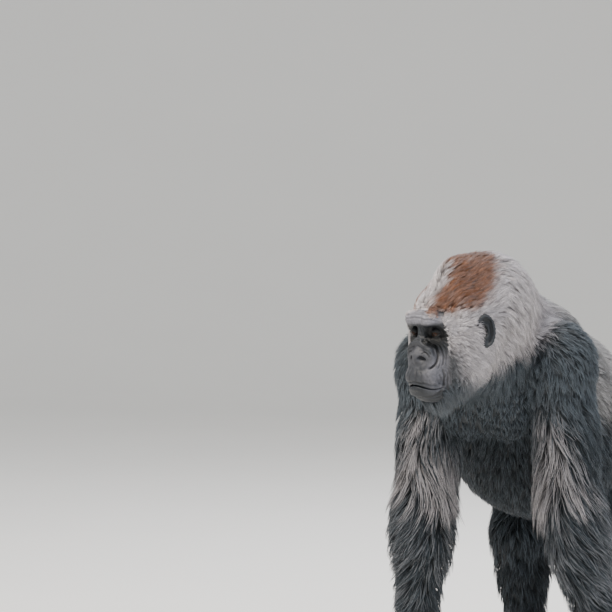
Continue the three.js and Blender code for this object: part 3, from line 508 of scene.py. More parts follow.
def lid_opening(s):
    """The almond between the lids: where two discs overlap, in front of the eyeball."""
    half, up, down = 12.8, 5.2, 3.6
    centre, axes = eye_frame(s)
    rise = (half**2 + up**2) / (2 * up)
    fall = (half**2 + down**2) / (2 * down)

    def at(p):
        q = (p - centre) @ axes
        upper = np.hypot(q[:, 0], q[:, 1] - up + rise) - rise
        lower = np.hypot(q[:, 0], q[:, 1] + down - fall) - fall
        return np.maximum.reduce([upper, lower, 2 - q[:, 2]])

    return Mass(centre, 60, at)


def face_field():
    """The head's skin with lips, lids and nose."""
    wing = [(6, -32, -14), (21, -33, -21), (32, -33, -36), (35, -34, -53), (31, -40, -68), (20, -51, -75)]
    fine = blend(5, [
        head_field(0),
        lip_roll(7.5, 6, 7),
        lip_roll(-9, 4.5, 8),
        head_lump((0, -53, -52), (7, 8, 14)),  # between the nostrils
        *both(lambda s: blend(3, [
            head_cone((s * a[0], *a[1:]), (s * b[0], *b[1:]), 8.5, 8.5) for a, b in zip(wing, wing[1:])
        ])),
        *both(lambda s: head_cone((s * 14, -21, -14), (s * 48, -4, -20), 7, 8)),  # bags under the eyes
        *both(lambda s: lump(eye_frame(s)[0], (EYE_RADIUS + 1.7,) * 3)),  # lids
    ])
    nostrils = both(nostril)
    open_face = hollowed(hollowed(fine, 5, nostrils), 2, [slit()])
    openings = both(lid_opening)
    sockets = both(lambda s: lump(eye_frame(s)[0], (EYE_RADIUS - 0.2,) * 3))
    return hollowed(hollowed(open_face, 1.6, openings), 0.6, sockets)


def nostril(s):
    x, y, z = NOSTRIL["at"]
    centre, axes = on_head((s * x, y, z), (s * 0.30, -0.85, -0.42), (s * 0.35, 0, 1))
    return lump(centre, NOSTRIL["size"], 0, axes)


# The creases of one side, on the face rolled out flat: points across and up, then half the width and
# the depth as a share of the deepest.
CREASES = [
    ([(16, -10), (34, -24), (45, -41), (46, -56), (40, -69), (28, -77)], 2.4, 1.5),
    ([(14, -40), (20, -36), (27, -42), (29, -50)], 1.6, 0.7),
    ([(21, -12), (39, -24), (50, -42), (50, -62), (41, -82)], 1.5, 0.6),
    ([(29, -12), (47, -24), (57, -40), (57, -58), (50, -78)], 1.5, 0.7),
    ([(38, -13), (54, -23), (64, -37), (65, -55), (58, -76)], 1.4, 0.5),
    ([(45, -12), (60, -20), (71, -33), (73, -50)], 1.4, 0.5),
    ([(51, -10), (66, -16), (77, -27)], 1.4, 0.45),
    ([(56, -6), (70, -10), (81, -18)], 1.4, 0.4),
    ([(9, -24), (24, -30), (33, -43)], 1.4, 0.55),
    ([(8, -32), (18, -36), (26, -45)], 1.3, 0.45),
    ([(13, -19), (28, -27), (38, -41), (39, -56)], 1.3, 0.4),
    ([(49, -90), (50, -106), (46, -120), (43, -134)], 2.0, 0.8),
    ([(55, -94), (57, -112), (53, -132), (44, -148)], 1.8, 0.5),
    ([(60, -88), (64, -108), (60, -128)], 1.6, 0.35),
    ([(40, -100), (43, -112), (41, -119)], 1.5, 0.45),
    ([(0, -103), (15, -109), (28, -118), (36, -127)], 2.0, 0.6),
    ([(0, -147), (16, -149), (30, -147), (38, -138)], 2.3, 0.75),
    ([(0, -158), (18, -159), (32, -155)], 1.8, 0.4),
    ([(5, -76), (6, -88), (6, -106)], 1.4, 0.35),
    ([(13, -84), (15, -96), (16, -110)], 1.3, 0.28),
    ([(22, -86), (25, -98), (27, -113)], 1.3, 0.25),
    ([(31, -86), (35, -98), (36, -113)], 1.3, 0.22),
    ([(4, 28), (4, 16), (8, 4)], 1.7, 0.7),
    ([(11, 33), (10, 24), (14, 14)], 1.4, 0.4),
    ([(0, 3), (10, 0)], 1.5, 0.6),
    ([(0, -7), (13, -9)], 1.5, 0.5),
    ([(0, 46), (26, 46), (48, 41), (64, 31)], 1.7, 0.5),
    ([(0, 53), (28, 54), (52, 48)], 1.7, 0.5),
    ([(0, 61), (26, 62), (46, 57)], 1.7, 0.45),
    ([(14, 27), (36, 27), (56, 20)], 1.3, 0.3),
    ([(66, 2), (78, -2), (88, -8)], 1.5, 0.45),
    ([(68, -6), (79, -12), (87, -20)], 1.5, 0.4),
]

# Half the width of the bare face at each height.
FACE_EDGE = [
    (-172, 12), (-166, 32), (-152, 46), (-120, 58), (-80, 64), (-40, 67), (5, 67),
    (22, 65), (33, 60), (43, 52), (50, 40), (56, 24), (59, 0),
]


def inside_face(q):
    """How far inside the edge of the bare face points lie, in the head's frame."""
    heights, widths = zip(*FACE_EDGE)
    half = np.interp(q[:, 2], heights, widths, left=-40, right=-40)
    return np.minimum(half - np.abs(q[:, 0]), 36 - q[:, 1])


def bare_face(q):
    """How bare the head is at points in its own frame: 1 on the face and 0 under the coat."""
    return smoothstep(-5, 5, inside_face(q))


def distance_to_line(p, points):
    """The distance of flat points from a line of straight stretches."""
    found = np.full(len(p), FAR_OFF)
    for a, b in zip(points, points[1:]):
        a, d = np.asarray(a, float), np.subtract(b, a).astype(float)
        h = np.clip((p - a) @ d / (d @ d), 0, 1)
        found = np.minimum(found, np.linalg.norm(p - a - h[:, None] * d, axis=1))
    return found


def smooth_line(points):
    """A line of straight stretches with its corners cut twice."""
    p = np.asarray(points, float)
    for _ in range(2):
        cut = np.stack([0.75 * p[:-1] + 0.25 * p[1:], 0.25 * p[:-1] + 0.75 * p[1:]], axis=1).reshape(-1, 2)
        p = np.concatenate([p[:1], cut, p[-1:]])
    return p


def crease_depths(p):
    """How deep the face is creased at points of its skin: 1 in the deepest, and below 0 on raised edges."""
    q = to_head(p)
    near = np.nonzero((q[:, 1] < 45) & (q[:, 2] > -180) & (q[:, 2] < 90))[0]
    flat = np.stack([60 * np.arctan2(np.abs(q[near, 0]), 30 - q[near, 1]), q[near, 2]], axis=1)
    flat += 1.6 * np.stack([ripple(q[near], 31, 1.0), ripple(q[near], 27, 2.0)], axis=1)
    press = np.zeros(len(near))
    for points, half, share in CREASES:
        off = distance_to_line(flat, smooth_line(points))
        press += share * (np.exp(-((off / half) ** 2)) - 0.35 * np.exp(-(((off - 2.2 * half) / half) ** 2)))
    found = np.zeros(len(p))
    found[near] = np.clip(press, -0.5, 1.6)
    return found


def knuckle_folds(p):
    """Folds across the knuckles and the joints that the hands stand on, as a share of the deepest crease."""
    found = np.zeros(len(p))
    for arm in ARMS.values():
        for i in range(FINGERS["count"]):
            for joint in finger_points(arm["wrist"], i)[:2]:
                near = np.exp(-((np.linalg.norm(p - joint - (0, -8, 4), axis=1) / 17) ** 2))
                found += 0.45 * near * np.cos(2 * math.pi * p[:, 2] / 10)
    return found * smoothstep(3, 12, p[:, 2])


# ------------------------------------------------------------------ meshes of fields


def grid_values(field, lo, hi, step, place=(np.zeros(3), np.eye(3))):
    """A field on an even grid: exact near the surface and rough elsewhere, and closed where the grid ends."""
    rough = 4
    lo = np.asarray(lo, float)
    cells = [max(1, math.ceil((h - l) / step / rough)) * rough for l, h in zip(lo, hi)]
    origin, axes = place

    def points(index):
        return origin + (lo + index * step) @ axes.T

    coarse_axes = [np.arange(0, n + 1, rough) for n in cells]
    index = np.stack(np.meshgrid(*coarse_axes, indexing="ij"), axis=-1).reshape(-1, 3)
    values = field.at(points(index)).reshape([len(a) for a in coarse_axes])
    for axis in range(3):
        values = finer(values, axis, rough)
    near = np.argwhere(np.abs(values) < 2.4 * rough * step)
    values[tuple(near.T)] = field.at(points(near))
    for axis in range(3):
        rim = [slice(None)] * 3
        for end in (0, -1):
            rim[axis] = end
            values[tuple(rim)] = np.maximum(values[tuple(rim)], step)
    return values, points


def finer(values, axis, factor):
    """Values with factor steps for each step along an axis, by straight mixing."""
    values = np.moveaxis(values, axis, 0)
    t = np.arange(factor)[:, None, None, None] / factor
    steps = values[None, :-1] * (1 - t) + values[None, 1:] * t
    steps = np.moveaxis(steps, 0, 1).reshape(-1, *values.shape[1:])
    return np.moveaxis(np.concatenate([steps, values[-1:]]), 0, axis)


def surface(field, lo, hi, step, place=(np.zeros(3), np.eye(3))):
    """The points and quads of a field's surface."""
    values, points = grid_values(field, lo, hi, step, place)
    grid = openvdb.FloatGrid(step * 4)
    grid.copyFromArray(np.ascontiguousarray(values, np.float32))
    found, quads = grid.convertToQuads(0.0)
    found = points(found.astype(float))
    flip = np.linalg.det(place[1]) < 0
    return found, quads[:, ::-1] if flip else quads


def mesh_object(name, points, faces, material):
    """A new mesh object at the origin, from points in metres and an even array of faces."""
    mesh = bpy.data.meshes.new(name)
    sides = faces.shape[1]
    mesh.vertices.add(len(points))
    mesh.vertices.foreach_set("co", np.asarray(points, np.float32).ravel())
    mesh.loops.add(faces.size)
    mesh.loops.foreach_set("vertex_index", faces.astype(np.int32).ravel())
    mesh.polygons.add(len(faces))
    mesh.polygons.foreach_set("loop_start", np.arange(0, faces.size, sides, dtype=np.int32))
    mesh.update(calc_edges=True)
    mesh.validate()
    mesh.polygons.foreach_set("use_smooth", np.ones(len(mesh.polygons), bool))
    mesh.materials.append(material)
    thing = bpy.data.objects.new(name, mesh)
    bpy.context.collection.objects.link(thing)
    return thing


def vertex_array(thing, what="co"):
    """The places of a piece's points, or their normals."""
    data = np.empty(len(thing.data.vertices) * 3, np.float32)
    thing.data.vertices.foreach_get(what, data)
    return data.reshape(-1, 3).astype(float)


def place_points(thing, p):
    """Moves the points of a piece to p, which is in the body's frame."""
    thing.data.vertices.foreach_set("co", to_scene(p).astype(np.float32).ravel())
    thing.data.update()


def set_colours(thing, name, colours):
    """Stores a colour for each point of a piece."""
    layer = thing.data.color_attributes.new(name, "FLOAT_COLOR", "POINT")
    full = np.ones((len(colours), 4), np.float32)
    full[:, :3] = colours
    layer.data.foreach_set("color", full.ravel())


# ------------------------------------------------------------------ markings, which skin and coat share


def ripple(p, length, seed=0.0):
    """A smooth, uneven pattern from -1 to 1, about length across."""
    k = 2 * math.pi / length
    x, y, z = (p * k).T
    return (
        np.sin(x * 0.9 + 1.7 * np.sin(y * 0.7 + seed) + seed)
        + np.sin(y * 1.1 + 1.3 * np.sin(z * 0.8 + 2 * seed) + 2.1)
        + np.sin(z * 0.8 + 1.5 * np.sin(x * 0.6 - seed) + 4.3)
    ) / 3


# The lower edge of the rust cap: how far back on the head, and how high.
CAP_EDGE = [(-10, 42), (23, 42), (54, 36), (90, 34), (125, 45), (155, 72), (190, 101), (225, 126), (245, 155)]


def markings(p, colours):
    """The coat's colour at points of the body."""
    q = to_head(p)
    dark, slate, frost = (np.array(c) for c in (colours.dark, colours.slate, colours.frost))
    silver, rust = np.array(colours.silver), np.array(colours.rust)
    grain = ripple(p, 60)[:, None]
    found = np.tile(dark, (len(p), 1)) + (slate - dark) * (0.10 + 0.08 * grain)
    sheen = smoothstep(690, 840, p[:, 2]) * smoothstep(200, 80, p[:, 1])
    found = mixed(found, slate * 0.8, 0.50 * sheen)
    found = found * (1 - 0.3 * smoothstep(420, 520, p[:, 1]) * smoothstep(640, 540, p[:, 2]))[:, None]  # legs
    # The saddle: back, upper flanks and rump, fading down the sides.
    height = p[:, 2] - np.interp(p[:, 1], (0, 250, 500, 760), (840, 760, 700, 640))
    outward = np.abs(p[:, 0]) - np.interp(p[:, 2], (700, 1000), (250, 130))
    saddle = smoothstep(-70, 60, height + 14 * grain[:, 0]) * smoothstep(20, 120, p[:, 1])
    found = mixed(found, silver, saddle * smoothstep(60, -10, outward))
    # The neck and the head are frosted, down to the shoulders and the throat.
    collar = smoothstep(120, -10, p[:, 1] + 0.5 * (p[:, 2] - 1080))
    collar = collar * smoothstep(905, 960, p[:, 2] - 0.28 * (p[:, 1] + 200))
    narrow = smoothstep(60, 0, np.abs(p[:, 0]) - np.interp(p[:, 1], (-150, 60), (150, 105)))
    near_head = smoothstep(300, 240, q[:, 1]) * smoothstep(-200, -130, q[:, 2] - 0.2 * np.maximum(q[:, 1], 0))
    near_head = near_head * smoothstep(165, 130, np.abs(q[:, 0]))
    frosted = np.maximum(collar * narrow, near_head)
    found = mixed(found, frost * (1 + 0.10 * grain), frosted)
    # Greyer towards the jaw and beard.
    beard = smoothstep(-95, -140, q[:, 2]) * smoothstep(85, 30, q[:, 1]) * smoothstep(-235, -200, q[:, 2])
    found = mixed(found, slate * 0.6, beard * 0.9)
    # Short dark hair runs down beside the face.
    dusky = smoothstep(-34, -4, inside_face(q)) * smoothstep(-20, -70, q[:, 2]) * near_head
    found = mixed(found, slate * 0.42, 0.85 * dusky)
    # The rust cap lies over the crown, parted over the forehead by a frosted strip.
    lower_edge = np.interp(q[:, 1], *zip(*CAP_EDGE))
    strip = np.abs(q[:, 0] + 15) - np.interp(q[:, 1], (60, 100, 128), (26, 20, -12))
    fringe = 9 * ripple(p, 26, 1.3)
    rusty = smoothstep(-14, 16, q[:, 2] - lower_edge + fringe) * smoothstep(-10, 14, strip + fringe)
    rusty = rusty * near_head
    wear_and_highlight = 0.88 + 0.12 * ripple(p, 22, 4.0)
    return mixed(found, rust * (1 + 0.40 * ripple(p, 16, 2.0)[:, None]), rusty * wear_and_highlight)


def frosting(p):
    """Where the dark coat carries pale hairs: a sweep over the arm's front, and most at the inner elbow."""
    across = np.abs(p[:, 0]) - np.interp(p[:, 2], (560, 620, 700, 780), (245, 220, 190, 168))
    sweep = np.exp(-((across / 46) ** 2)) * smoothstep(850, 760, p[:, 2])
    sweep = sweep * smoothstep(530, 600, p[:, 2]) * smoothstep(30, -30, p[:, 1])
    below = 0.35 * smoothstep(620, 540, p[:, 2]) * smoothstep(230, 330, p[:, 2])
    return np.clip(np.maximum.reduce([sweep, below, 1.7 * elbow_tuft(p)]), 0, 1)


def elbow_tuft(p):
    """How near points are to the pale tuft on the inner side of either elbow."""
    inner = np.linalg.norm((np.abs(p) * (1, 0, 0) + p * (0, 1, 1) - (160, -40, 628)) / (56, 66, 78), axis=1)
    return np.exp(-(inner**2))


def bare_colour(p, colours):
    """The colour of bare skin: dark, with painted highlight on brow, muzzle, nose and cheeks, and painted
    shadow in the eye sockets.
    """
    q = to_head(p)
    skin, pale = np.array(colours.skin), np.array(colours.highlight_skin)
    brow = smoothstep(22, 36, q[:, 2]) * smoothstep(30, -2, q[:, 1])
    muzzle = smoothstep(-30, -70, q[:, 2]) * smoothstep(10, -20, q[:, 1]) * smoothstep(-122, -98, q[:, 2])
    nose = np.exp(-((np.linalg.norm((q - (0, -46, -38)) / (34, 30, 27), axis=1)) ** 2))
    cheek = smoothstep(20, 46, np.abs(q[:, 0])) * smoothstep(-30, -72, q[:, 2])
    cheek = cheek * smoothstep(-152, -118, q[:, 2])
    on_face = smoothstep(60, 40, q[:, 1]) * (np.abs(q[:, 0]) < 100)
    # Painted highlight: brow, muzzle, nose and cheeks are paler where light catches them.
    wear_and_highlight = np.clip(0.95 * brow + 0.08 * muzzle + 0.28 * nose + 0.38 * cheek, 0, 1) * on_face
    # Painted shadow darkens the eye sockets under the brow.
    from_shaded_socket = both(lambda s: np.linalg.norm((q - (s * 38, -4, -5)) / (33, 36, 26), axis=1))
    sockets = sum(np.exp(-(off**4)) for off in from_shaded_socket)
    found = mixed(np.tile(skin, (len(p), 1)), pale, wear_and_highlight * (0.80 + 0.20 * ripple(p, 14, 0.6)))
    return found * (1 - 0.95 * np.clip(sockets, 0, 1) * on_face)[:, None]


# ------------------------------------------------------------------ materials


def node(tree, kind, values=(), inputs=(), **settings):
    """Adds a node with its settings, its socket values and the sockets that feed it."""
    made = tree.nodes.new(kind)
    for key, value in settings.items():
        setattr(made, key, value)
    for socket, value in dict(values).items():
        made.inputs[socket].default_value = value
    for socket, source in dict(inputs).items():
        tree.links.new(source, made.inputs[socket])
    return made


def new_material(name, values):
    """A material with only its shader, set to values, and its output, and its tree."""
    material = bpy.data.materials.new(name)
    material.use_nodes = True
    tree = material.node_tree
    tree.nodes.clear()
    shader = node(tree, "ShaderNodeBsdfPrincipled", values)
    node(tree, "ShaderNodeOutputMaterial", inputs={"Surface": shader.outputs["BSDF"]})
    return material, tree, shader


def noise(tree, size, **values):
    """Noise of a size in metres, laid out in the piece's own space."""
    place = node(tree, "ShaderNodeTexCoord").outputs["Object"]
    return node(tree, "ShaderNodeTexNoise", {"Scale": 1 / size, **values}, {"Vector": place}).outputs["Fac"]


def spread(tree, source, lo, hi, start=0.0, end=1.0):
    """A value from start to end, spread from lo to hi."""
    limits = {"From Min": start, "From Max": end, "To Min": lo, "To Max": hi}
    return node(tree, "ShaderNodeMapRange", limits, {"Value": source}).outputs["Result"]


def paint(tree, shader, tone, colour=None):
    """Gives a shader one colour, or the markings of its piece, made paler and darker by tone."""
    if colour is None:
        marked = node(tree, "ShaderNodeAttribute", attribute_name="markings").outputs["Color"]
        values, inputs = {}, {0: marked, "Scale": tone}
    else:
        values, inputs = {0: tuple(colour)}, {"Scale": tone}
    tinted = node(tree, "ShaderNodeVectorMath", values, inputs, operation="SCALE")
    tree.links.new(tinted.outputs["Vector"], shader.inputs["Base Color"])


def bare_skin_material():
    """Living ape's hide: leathery and finely pebbled, with a low sheen where it is stretched."""
    material, tree, shader = new_material("bare_ape_hide", {"Specular IOR Level": 0.40})
    folds = noise(tree, 9 * MM, Detail=6.0, Distortion=1.2)
    paint(tree, shader, spread(tree, folds, 0.72, 1.25, 0.3, 0.7))
    tree.links.new(spread(tree, folds, 0.44, 0.62, 0.3, 0.7), shader.inputs["Roughness"])
    pebble = 2.2 * MM  # the plates of the skin, drawn about twice their real size
    plates = node(
        tree, "ShaderNodeTexVoronoi", {"Scale": 1 / pebble, "Randomness": 1.0},
        {"Vector": node(tree, "ShaderNodeTexCoord").outputs["Object"]}, feature="DISTANCE_TO_EDGE",
    )
    edge = spread(tree, plates.outputs["Distance"], 0.0, 1.0, 0.0, 0.25)
    fine = node(tree, "ShaderNodeBump", {"Strength": 0.30, "Distance": 0.6 * MM}, {"Height": edge})
    broad = node(
        tree, "ShaderNodeBump", {"Strength": 0.55, "Distance": 1.6 * MM},
        {"Height": folds, "Normal": fine.outputs["Normal"]},
    )
    tree.links.new(broad.outputs["Normal"], shader.inputs["Normal"])
    return material


def hair_material():
    """Coarse guard hair: half dull, and mottled along each strand."""
    material, tree, shader = new_material("guard_hair", {"Roughness": 0.55, "Specular IOR Level": 0.35})
    paint(tree, shader, spread(tree, noise(tree, 3 * MM, Detail=3.0), 0.82, 1.18, 0.3, 0.7))
    return material


def eye_material(colours):
    """A wet eye: pupil, red-brown iris with a darker rim and a brown sclera, under a clear film."""
    material, tree, shader = new_material("wet_eye", {
        "Roughness": 0.3, "Specular IOR Level": 0.1,
        "Coat Weight": 0.5, "Coat Roughness": 0.04, "Coat IOR": 1.376,
    })
    around = node(tree, "ShaderNodeAttribute", attribute_name="from_pupil").outputs["Fac"]
    ramp = node(tree, "ShaderNodeValToRGB", {}, {"Fac": around})
    pupil, iris = linear("#050403"), tuple(colours.iris)
    rim, sclera, far_sclera = linear("#0d0704"), linear("#1c1411"), linear("#140e0b")
    first, last = ramp.color_ramp.elements
    first.position, first.color = 0.0, (*pupil, 1)
    last.position, last.color = 1.0, (*far_sclera, 1)
    for position, colour in [(0.19, pupil), (0.22, iris), (0.50, iris), (0.58, rim), (0.68, sclera)]:
        ramp.color_ramp.elements.new(position).color = (*colour, 1)
    tree.links.new(ramp.outputs["Color"], shader.inputs["Base Color"])
    return material


def nail_material(colours):
    """Horn: dark and fairly smooth, with a fine mottle."""
    material, tree, shader = new_material("horn_nail", {"Roughness": 0.35})
    paint(tree, shader, spread(tree, noise(tree, 1.5 * MM, Detail=2.0), 0.7, 1.3), colours.nail)
    return material


def floor_material():
    """Pale matt studio paint."""
    material, tree, shader = new_material("studio_floor_paint", {"Roughness": 0.9})
    paint(tree, shader, spread(tree, noise(tree, 1 / 1.5, Detail=2.0), 0.98, 1.02), linear("#efeeeb"))
    return material


# ------------------------------------------------------------------ camera, light and floor

# Angles in degrees, lens and sensor in millimetres, and the rest in metres, aside and above the eyes.
CAMERA = {
    "azimuth": 24, "elevation": 3, "distance": 8.0, "aside": -0.301, "above": 0.066,
    "sensor": 36, "lens": 188.24,
}
# Each light's place from the middle of the body, towards the camera's right, back to the camera and up, then
# its size, power and colour.
LIGHTS = {
    "key": ((-2.0, 2.2, 4.6), 2.2, 480, "#fff6ea"),
    "fill": ((3.6, 2.4, 1.6), 3.4, 100, "#eef3ff"),
    "rim": ((1.5, -3.4, 3.6), 2.6, 200, "#f4f7ff"),
}
SURROUNDINGS = ("#e4e6e8", 0.85)
SUBJECT_HEIGHT = 0.75


def studio_sweep(back):
    """A level floor that turns up into a wall, far behind the model."""
    near, reach, bend, high, half = -20.0, 9.0, 5.0, 9.0, 26.0
    quarter = np.linspace(0, math.pi / 2, 25)[1:]
    profile = [(near, 0.0), (reach, 0.0)]
    profile += [(reach + bend * math.sin(t), bend * (1 - math.cos(t))) for t in quarter]
    profile.append((reach + bend, high + bend))
    away = np.array([-back.x, -back.y]) / math.hypot(back.x, back.y)
    aside = np.array([away[1], -away[0]])
    points = [(*(away * d - aside * w), z) for d, z in profile for w in (-half, half)]
    faces = [(2 * i, 2 * i + 2, 2 * i + 3, 2 * i + 1) for i in range(len(profile) - 1)]
    return mesh_object("studio_floor", np.array(points), np.array(faces), floor_material())


class GORILLA_OT_stage(Operator):
    """Sets the camera, the soft light and the pale floor"""

    bl_idname = "gorilla.stage"
    bl_label = "Camera, light and floor"

    def execute(self, context):
        az, el = math.radians(CAMERA["azimuth"]), math.radians(CAMERA["elevation"])
        right = Vector((math.cos(az), math.sin(az), 0))
        back = Vector((math.sin(az) * math.cos(el), -math.cos(az) * math.cos(el), math.sin(el)))
        up = back.cross(right)
        target = Vector(to_scene(EYES_AT)) + right * CAMERA["aside"] + up * CAMERA["above"]
        bpy.ops.object.camera_add(location=target + back * CAMERA["distance"])
        camera = context.object
        camera.rotation_euler = back.to_track_quat("Z", "Y").to_euler()
        camera.data.sensor_width = CAMERA["sensor"]
        camera.data.lens = CAMERA["lens"]
        camera.data.clip_end = 100
        context.scene.camera = camera
        for name, ((aside, nearer, above), size, power, colour) in LIGHTS.items():
            place = right * aside + back * nearer + Vector((0, 0, above))
            bpy.ops.object.light_add(type="AREA", location=Vector((0, 0, SUBJECT_HEIGHT)) + place)
            light = context.object
            light.name = "soft_" + name
            light.data.size = size
            light.data.energy = power
            light.data.color = linear(colour)
            light.rotation_euler = place.to_track_quat("Z", "Y").to_euler()
        world = bpy.data.worlds.new("studio")
        context.scene.world = world
        world.use_nodes = True
        sheet, strength = SURROUNDINGS
        background = world.node_tree.nodes["Background"]
        background.inputs["Color"].default_value = (*linear(sheet), 1)
        background.inputs["Strength"].default_value = strength
        floor = studio_sweep(back)
        return {"FINISHED"}


# ------------------------------------------------------------------ skin

FLESH = [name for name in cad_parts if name.split("_")[0] not in ("eye", "ear")]

BODY_BOX = ((-330, -510, 0), (330, 860, 1260))
# Boxes that get a finer skin, as low and high corners: the face's in the head's frame, and those of a hand
# and a foot from the floor under wrist and ankle to a little over the joint.
FACE_BOX = ((-92, -110, -192), (92, 46, 72))
HAND_BOX = ((-110, -110, 0), (110, 110))
FOOT_BOX = ((-130, -270, 0), (130, 110))
OVER_WRIST, OVER_ANKLE = 26, 34
# How deep the coarse skin sinks where a finer one takes its place, over which width it gets there, and how
# much the finer one swells at its edge.
FACE_SINK, LIMB_SINK, SINK_RAMP, SWELL = 34.0, 70.0, 24, 0.9
# How far under the floor a hand's or a foot's box reaches, so that neither skin ends there as at an edge.
UNDER_COARSE, UNDER_FINE = 400, 60


def boxed(field, place, lo, hi, swell=0.0, sink=0.0, ramp=10.0):
    """A field that swells near the edge of a box, or sinks inside it, to let a finer skin in there."""
    centre, axes = place
    lo, hi = np.asarray(lo, float), np.asarray(hi, float)

    def at(p):
        q = (p - centre) @ axes
        depth = np.minimum(q - lo, hi - q).min(axis=1)
        return field.at(p) - swell * smoothstep(ramp, 0, depth) + sink * smoothstep(8, 8 + ramp, depth)

    return Mass(field.centre, field.reach, at)


def skin_parts(sizes):
    """The parts with a finer skin: place, low and high corner, cell, field, and the coarse skin's sink."""
    face = whole_trunk(0, face_field())
    parts = [((EYES_AT, HEAD_TURN), *FACE_BOX, sizes.face_cell / MM, face, FACE_SINK)]
    for side in SIDES:
        for end, (lo, hi), over, field in (
            (ARMS[side]["wrist"], HAND_BOX, OVER_WRIST, whole_arm(side, 0)),
            (LEGS[side]["ankle"], FOOT_BOX, OVER_ANKLE, whole_leg(side, 0)),
        ):
            place = (np.array((end[0], end[1], 0.0)), np.eye(3))
            parts.append((place, lo, (*hi, end[2] + over), sizes.hand_cell / MM, field, LIMB_SINK))
    return parts


class GORILLA_OT_skin(Operator):
    """Makes the one skin, with a finer face, hands and feet let into it"""

    bl_idname = "gorilla.skin"
    bl_label = "Skin"

    def execute(self, context):
        settings = context.scene.gorilla
        material = bare_skin_material()
        parts = skin_parts(settings.skin)
        coarse = body_field(0)
        for place, lo, hi, _, _, sink in parts:
            coarse = boxed(coarse, place, lowered(lo, UNDER_COARSE), hi, sink=sink, ramp=SINK_RAMP)
        points, quads = surface(coarse, *BODY_BOX, settings.skin.body_cell / MM)
        skin = mesh_object("skin", points, quads, material)
        for place, lo, hi, cell, field, _ in parts:
            wide = boxed(field, place, lowered(lo, UNDER_FINE), hi, swell=SWELL)
            points, quads = surface(standing(wide), lowered(lo, 4 * cell), hi, cell, place)
            join_closed(skin, mesh_object("finer", points, quads, material))
        finish_skin(skin, settings)
        return {"FINISHED"}


def lowered(corner, drop):
    """The low corner of a box, let down through the floor where the box stands on it."""
    x, y, z = corner
    return np.array((x, y, z - drop if z == 0 else z), float)


def standing(field):
    """A field cut off level at the floor."""
    return Mass(field.centre, field.reach, lambda p: np.maximum(field.at(p), -p[:, 2]))


def join_closed(skin, piece):
    """Joins a closed piece to the skin and removes it."""
    join = skin.modifiers.new("join", "BOOLEAN")
    join.operation = "UNION"
    join.object = piece
    join.solver = "MANIFOLD"
    bpy.ops.object.select_all(action="DESELECT")
    bpy.context.view_layer.objects.active = skin
    bpy.ops.object.modifier_apply(modifier="join")
    bpy.data.objects.remove(piece)


def finish_skin(skin, settings):
    """Presses the creases, sets the markings with painted shade in the creases, eye sockets and under the
    coat, and puts the skin in its place in the scene.
    """
    p = vertex_array(skin)
    normals = vertex_array(skin, "normal")
    q = to_head(p)
    coat = markings(p, settings.colours)
    # Under the coat the skin takes the coat's colour, darkened as painted shade beneath the hair, most under
    # dark hair.
    coat = coat * (0.30 + 0.50 * smoothstep(0.05, 0.30, coat.mean(axis=1)))[:, None]
    bare = np.maximum(smoothstep(-14, 0, inside_face(q)), bare_limbs(p))
    press = crease_depths(p) + knuckle_folds(p)
    p = p - normals * (press * settings.skin.crease / MM)[:, None]
    # Painted shade darkens the creases and folds, and painted highlight lightens their raised edges.
    shaded_hide = bare_colour(p, settings.colours) * (1 - 0.68 * np.clip(press, -0.3, 1))[:, None]
    set_colours(skin, "markings", mixed(coat, shaded_hide, bare))
    place_points(skin, p)
    skin.data.polygons.foreach_set("use_smooth", np.ones(len(skin.data.polygons), bool))
    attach(skin, "root")
    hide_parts(*FLESH)


def bare_limbs(p):
    """How bare the hands and feet are: palms, fingers, soles and toes."""
    found = np.zeros(len(p))
    for side in SIDES:
        wrist, ankle = ARMS[side]["wrist"], LEGS[side]["ankle"]
        hand = np.linalg.norm(p[:, :2] - wrist[:2], axis=1) < 130
        foot = (np.linalg.norm(p[:, :2] - ankle[:2], axis=1) < 280) & (p[:, 2] < 120)
        toes = smoothstep(110, 140, ankle[1] - p[:, 1])
        sole = smoothstep(34, 22, p[:, 2])
        found = np.maximum.reduce([found, hand * smoothstep(112, 84, p[:, 2]), foot * np.maximum(sole, toes)])
    return found


# ------------------------------------------------------------------ eyes, ears and nails

GAZE = unit(np.array([0.10, 0.02, 1.0]))  # a little aside from straight out of the socket
CORNEA_RISE = 1.4


class GORILLA_OT_eyes(Operator):
    """Makes the two eyeballs, each with its cornea standing out"""

    bl_idname = "gorilla.eyes"
    bl_label = "Eyes"

    def execute(self, context):
        settings = context.scene.gorilla
        material = eye_material(settings.colours)
        radius = EYE_RADIUS * MM
        for side, s in SIDES.items():
            centre, axes = eye_frame(s)
            bpy.ops.object.select_all(action="DESELECT")
            bpy.ops.mesh.primitive_uv_sphere_add(
                segments=64, ring_count=48, radius=radius, location=(0, 0, 0)
            )
            ball = context.object
            ball.name = "eyeball_" + side
            p = vertex_array(ball)
            ahead = p @ GAZE
            off = np.linalg.norm(p - ahead[:, None] * GAZE, axis=1)
            cornea = (ahead > 0) * np.clip(1 - (off / settings.skin.iris) ** 2, 0, 1)
            p += GAZE * (cornea * CORNEA_RISE * MM)[:, None]
            layer = ball.data.attributes.new("from_pupil", "FLOAT", "POINT")
            from_pupil = np.where(ahead > 0, off / radius, 1.0)
            layer.data.foreach_set("value", np.clip(from_pupil, 0, 1).astype(np.float32))
            place_points(ball, (p / MM) @ axes.T + centre)
            bpy.ops.object.shade_smooth()
            ball.data.materials.append(material)
            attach(ball, "root")
            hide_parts("eye_" + side)
        return {"FINISHED"}


EAR = {"at": (108, 98, -23), "wide": 26, "high": 45}


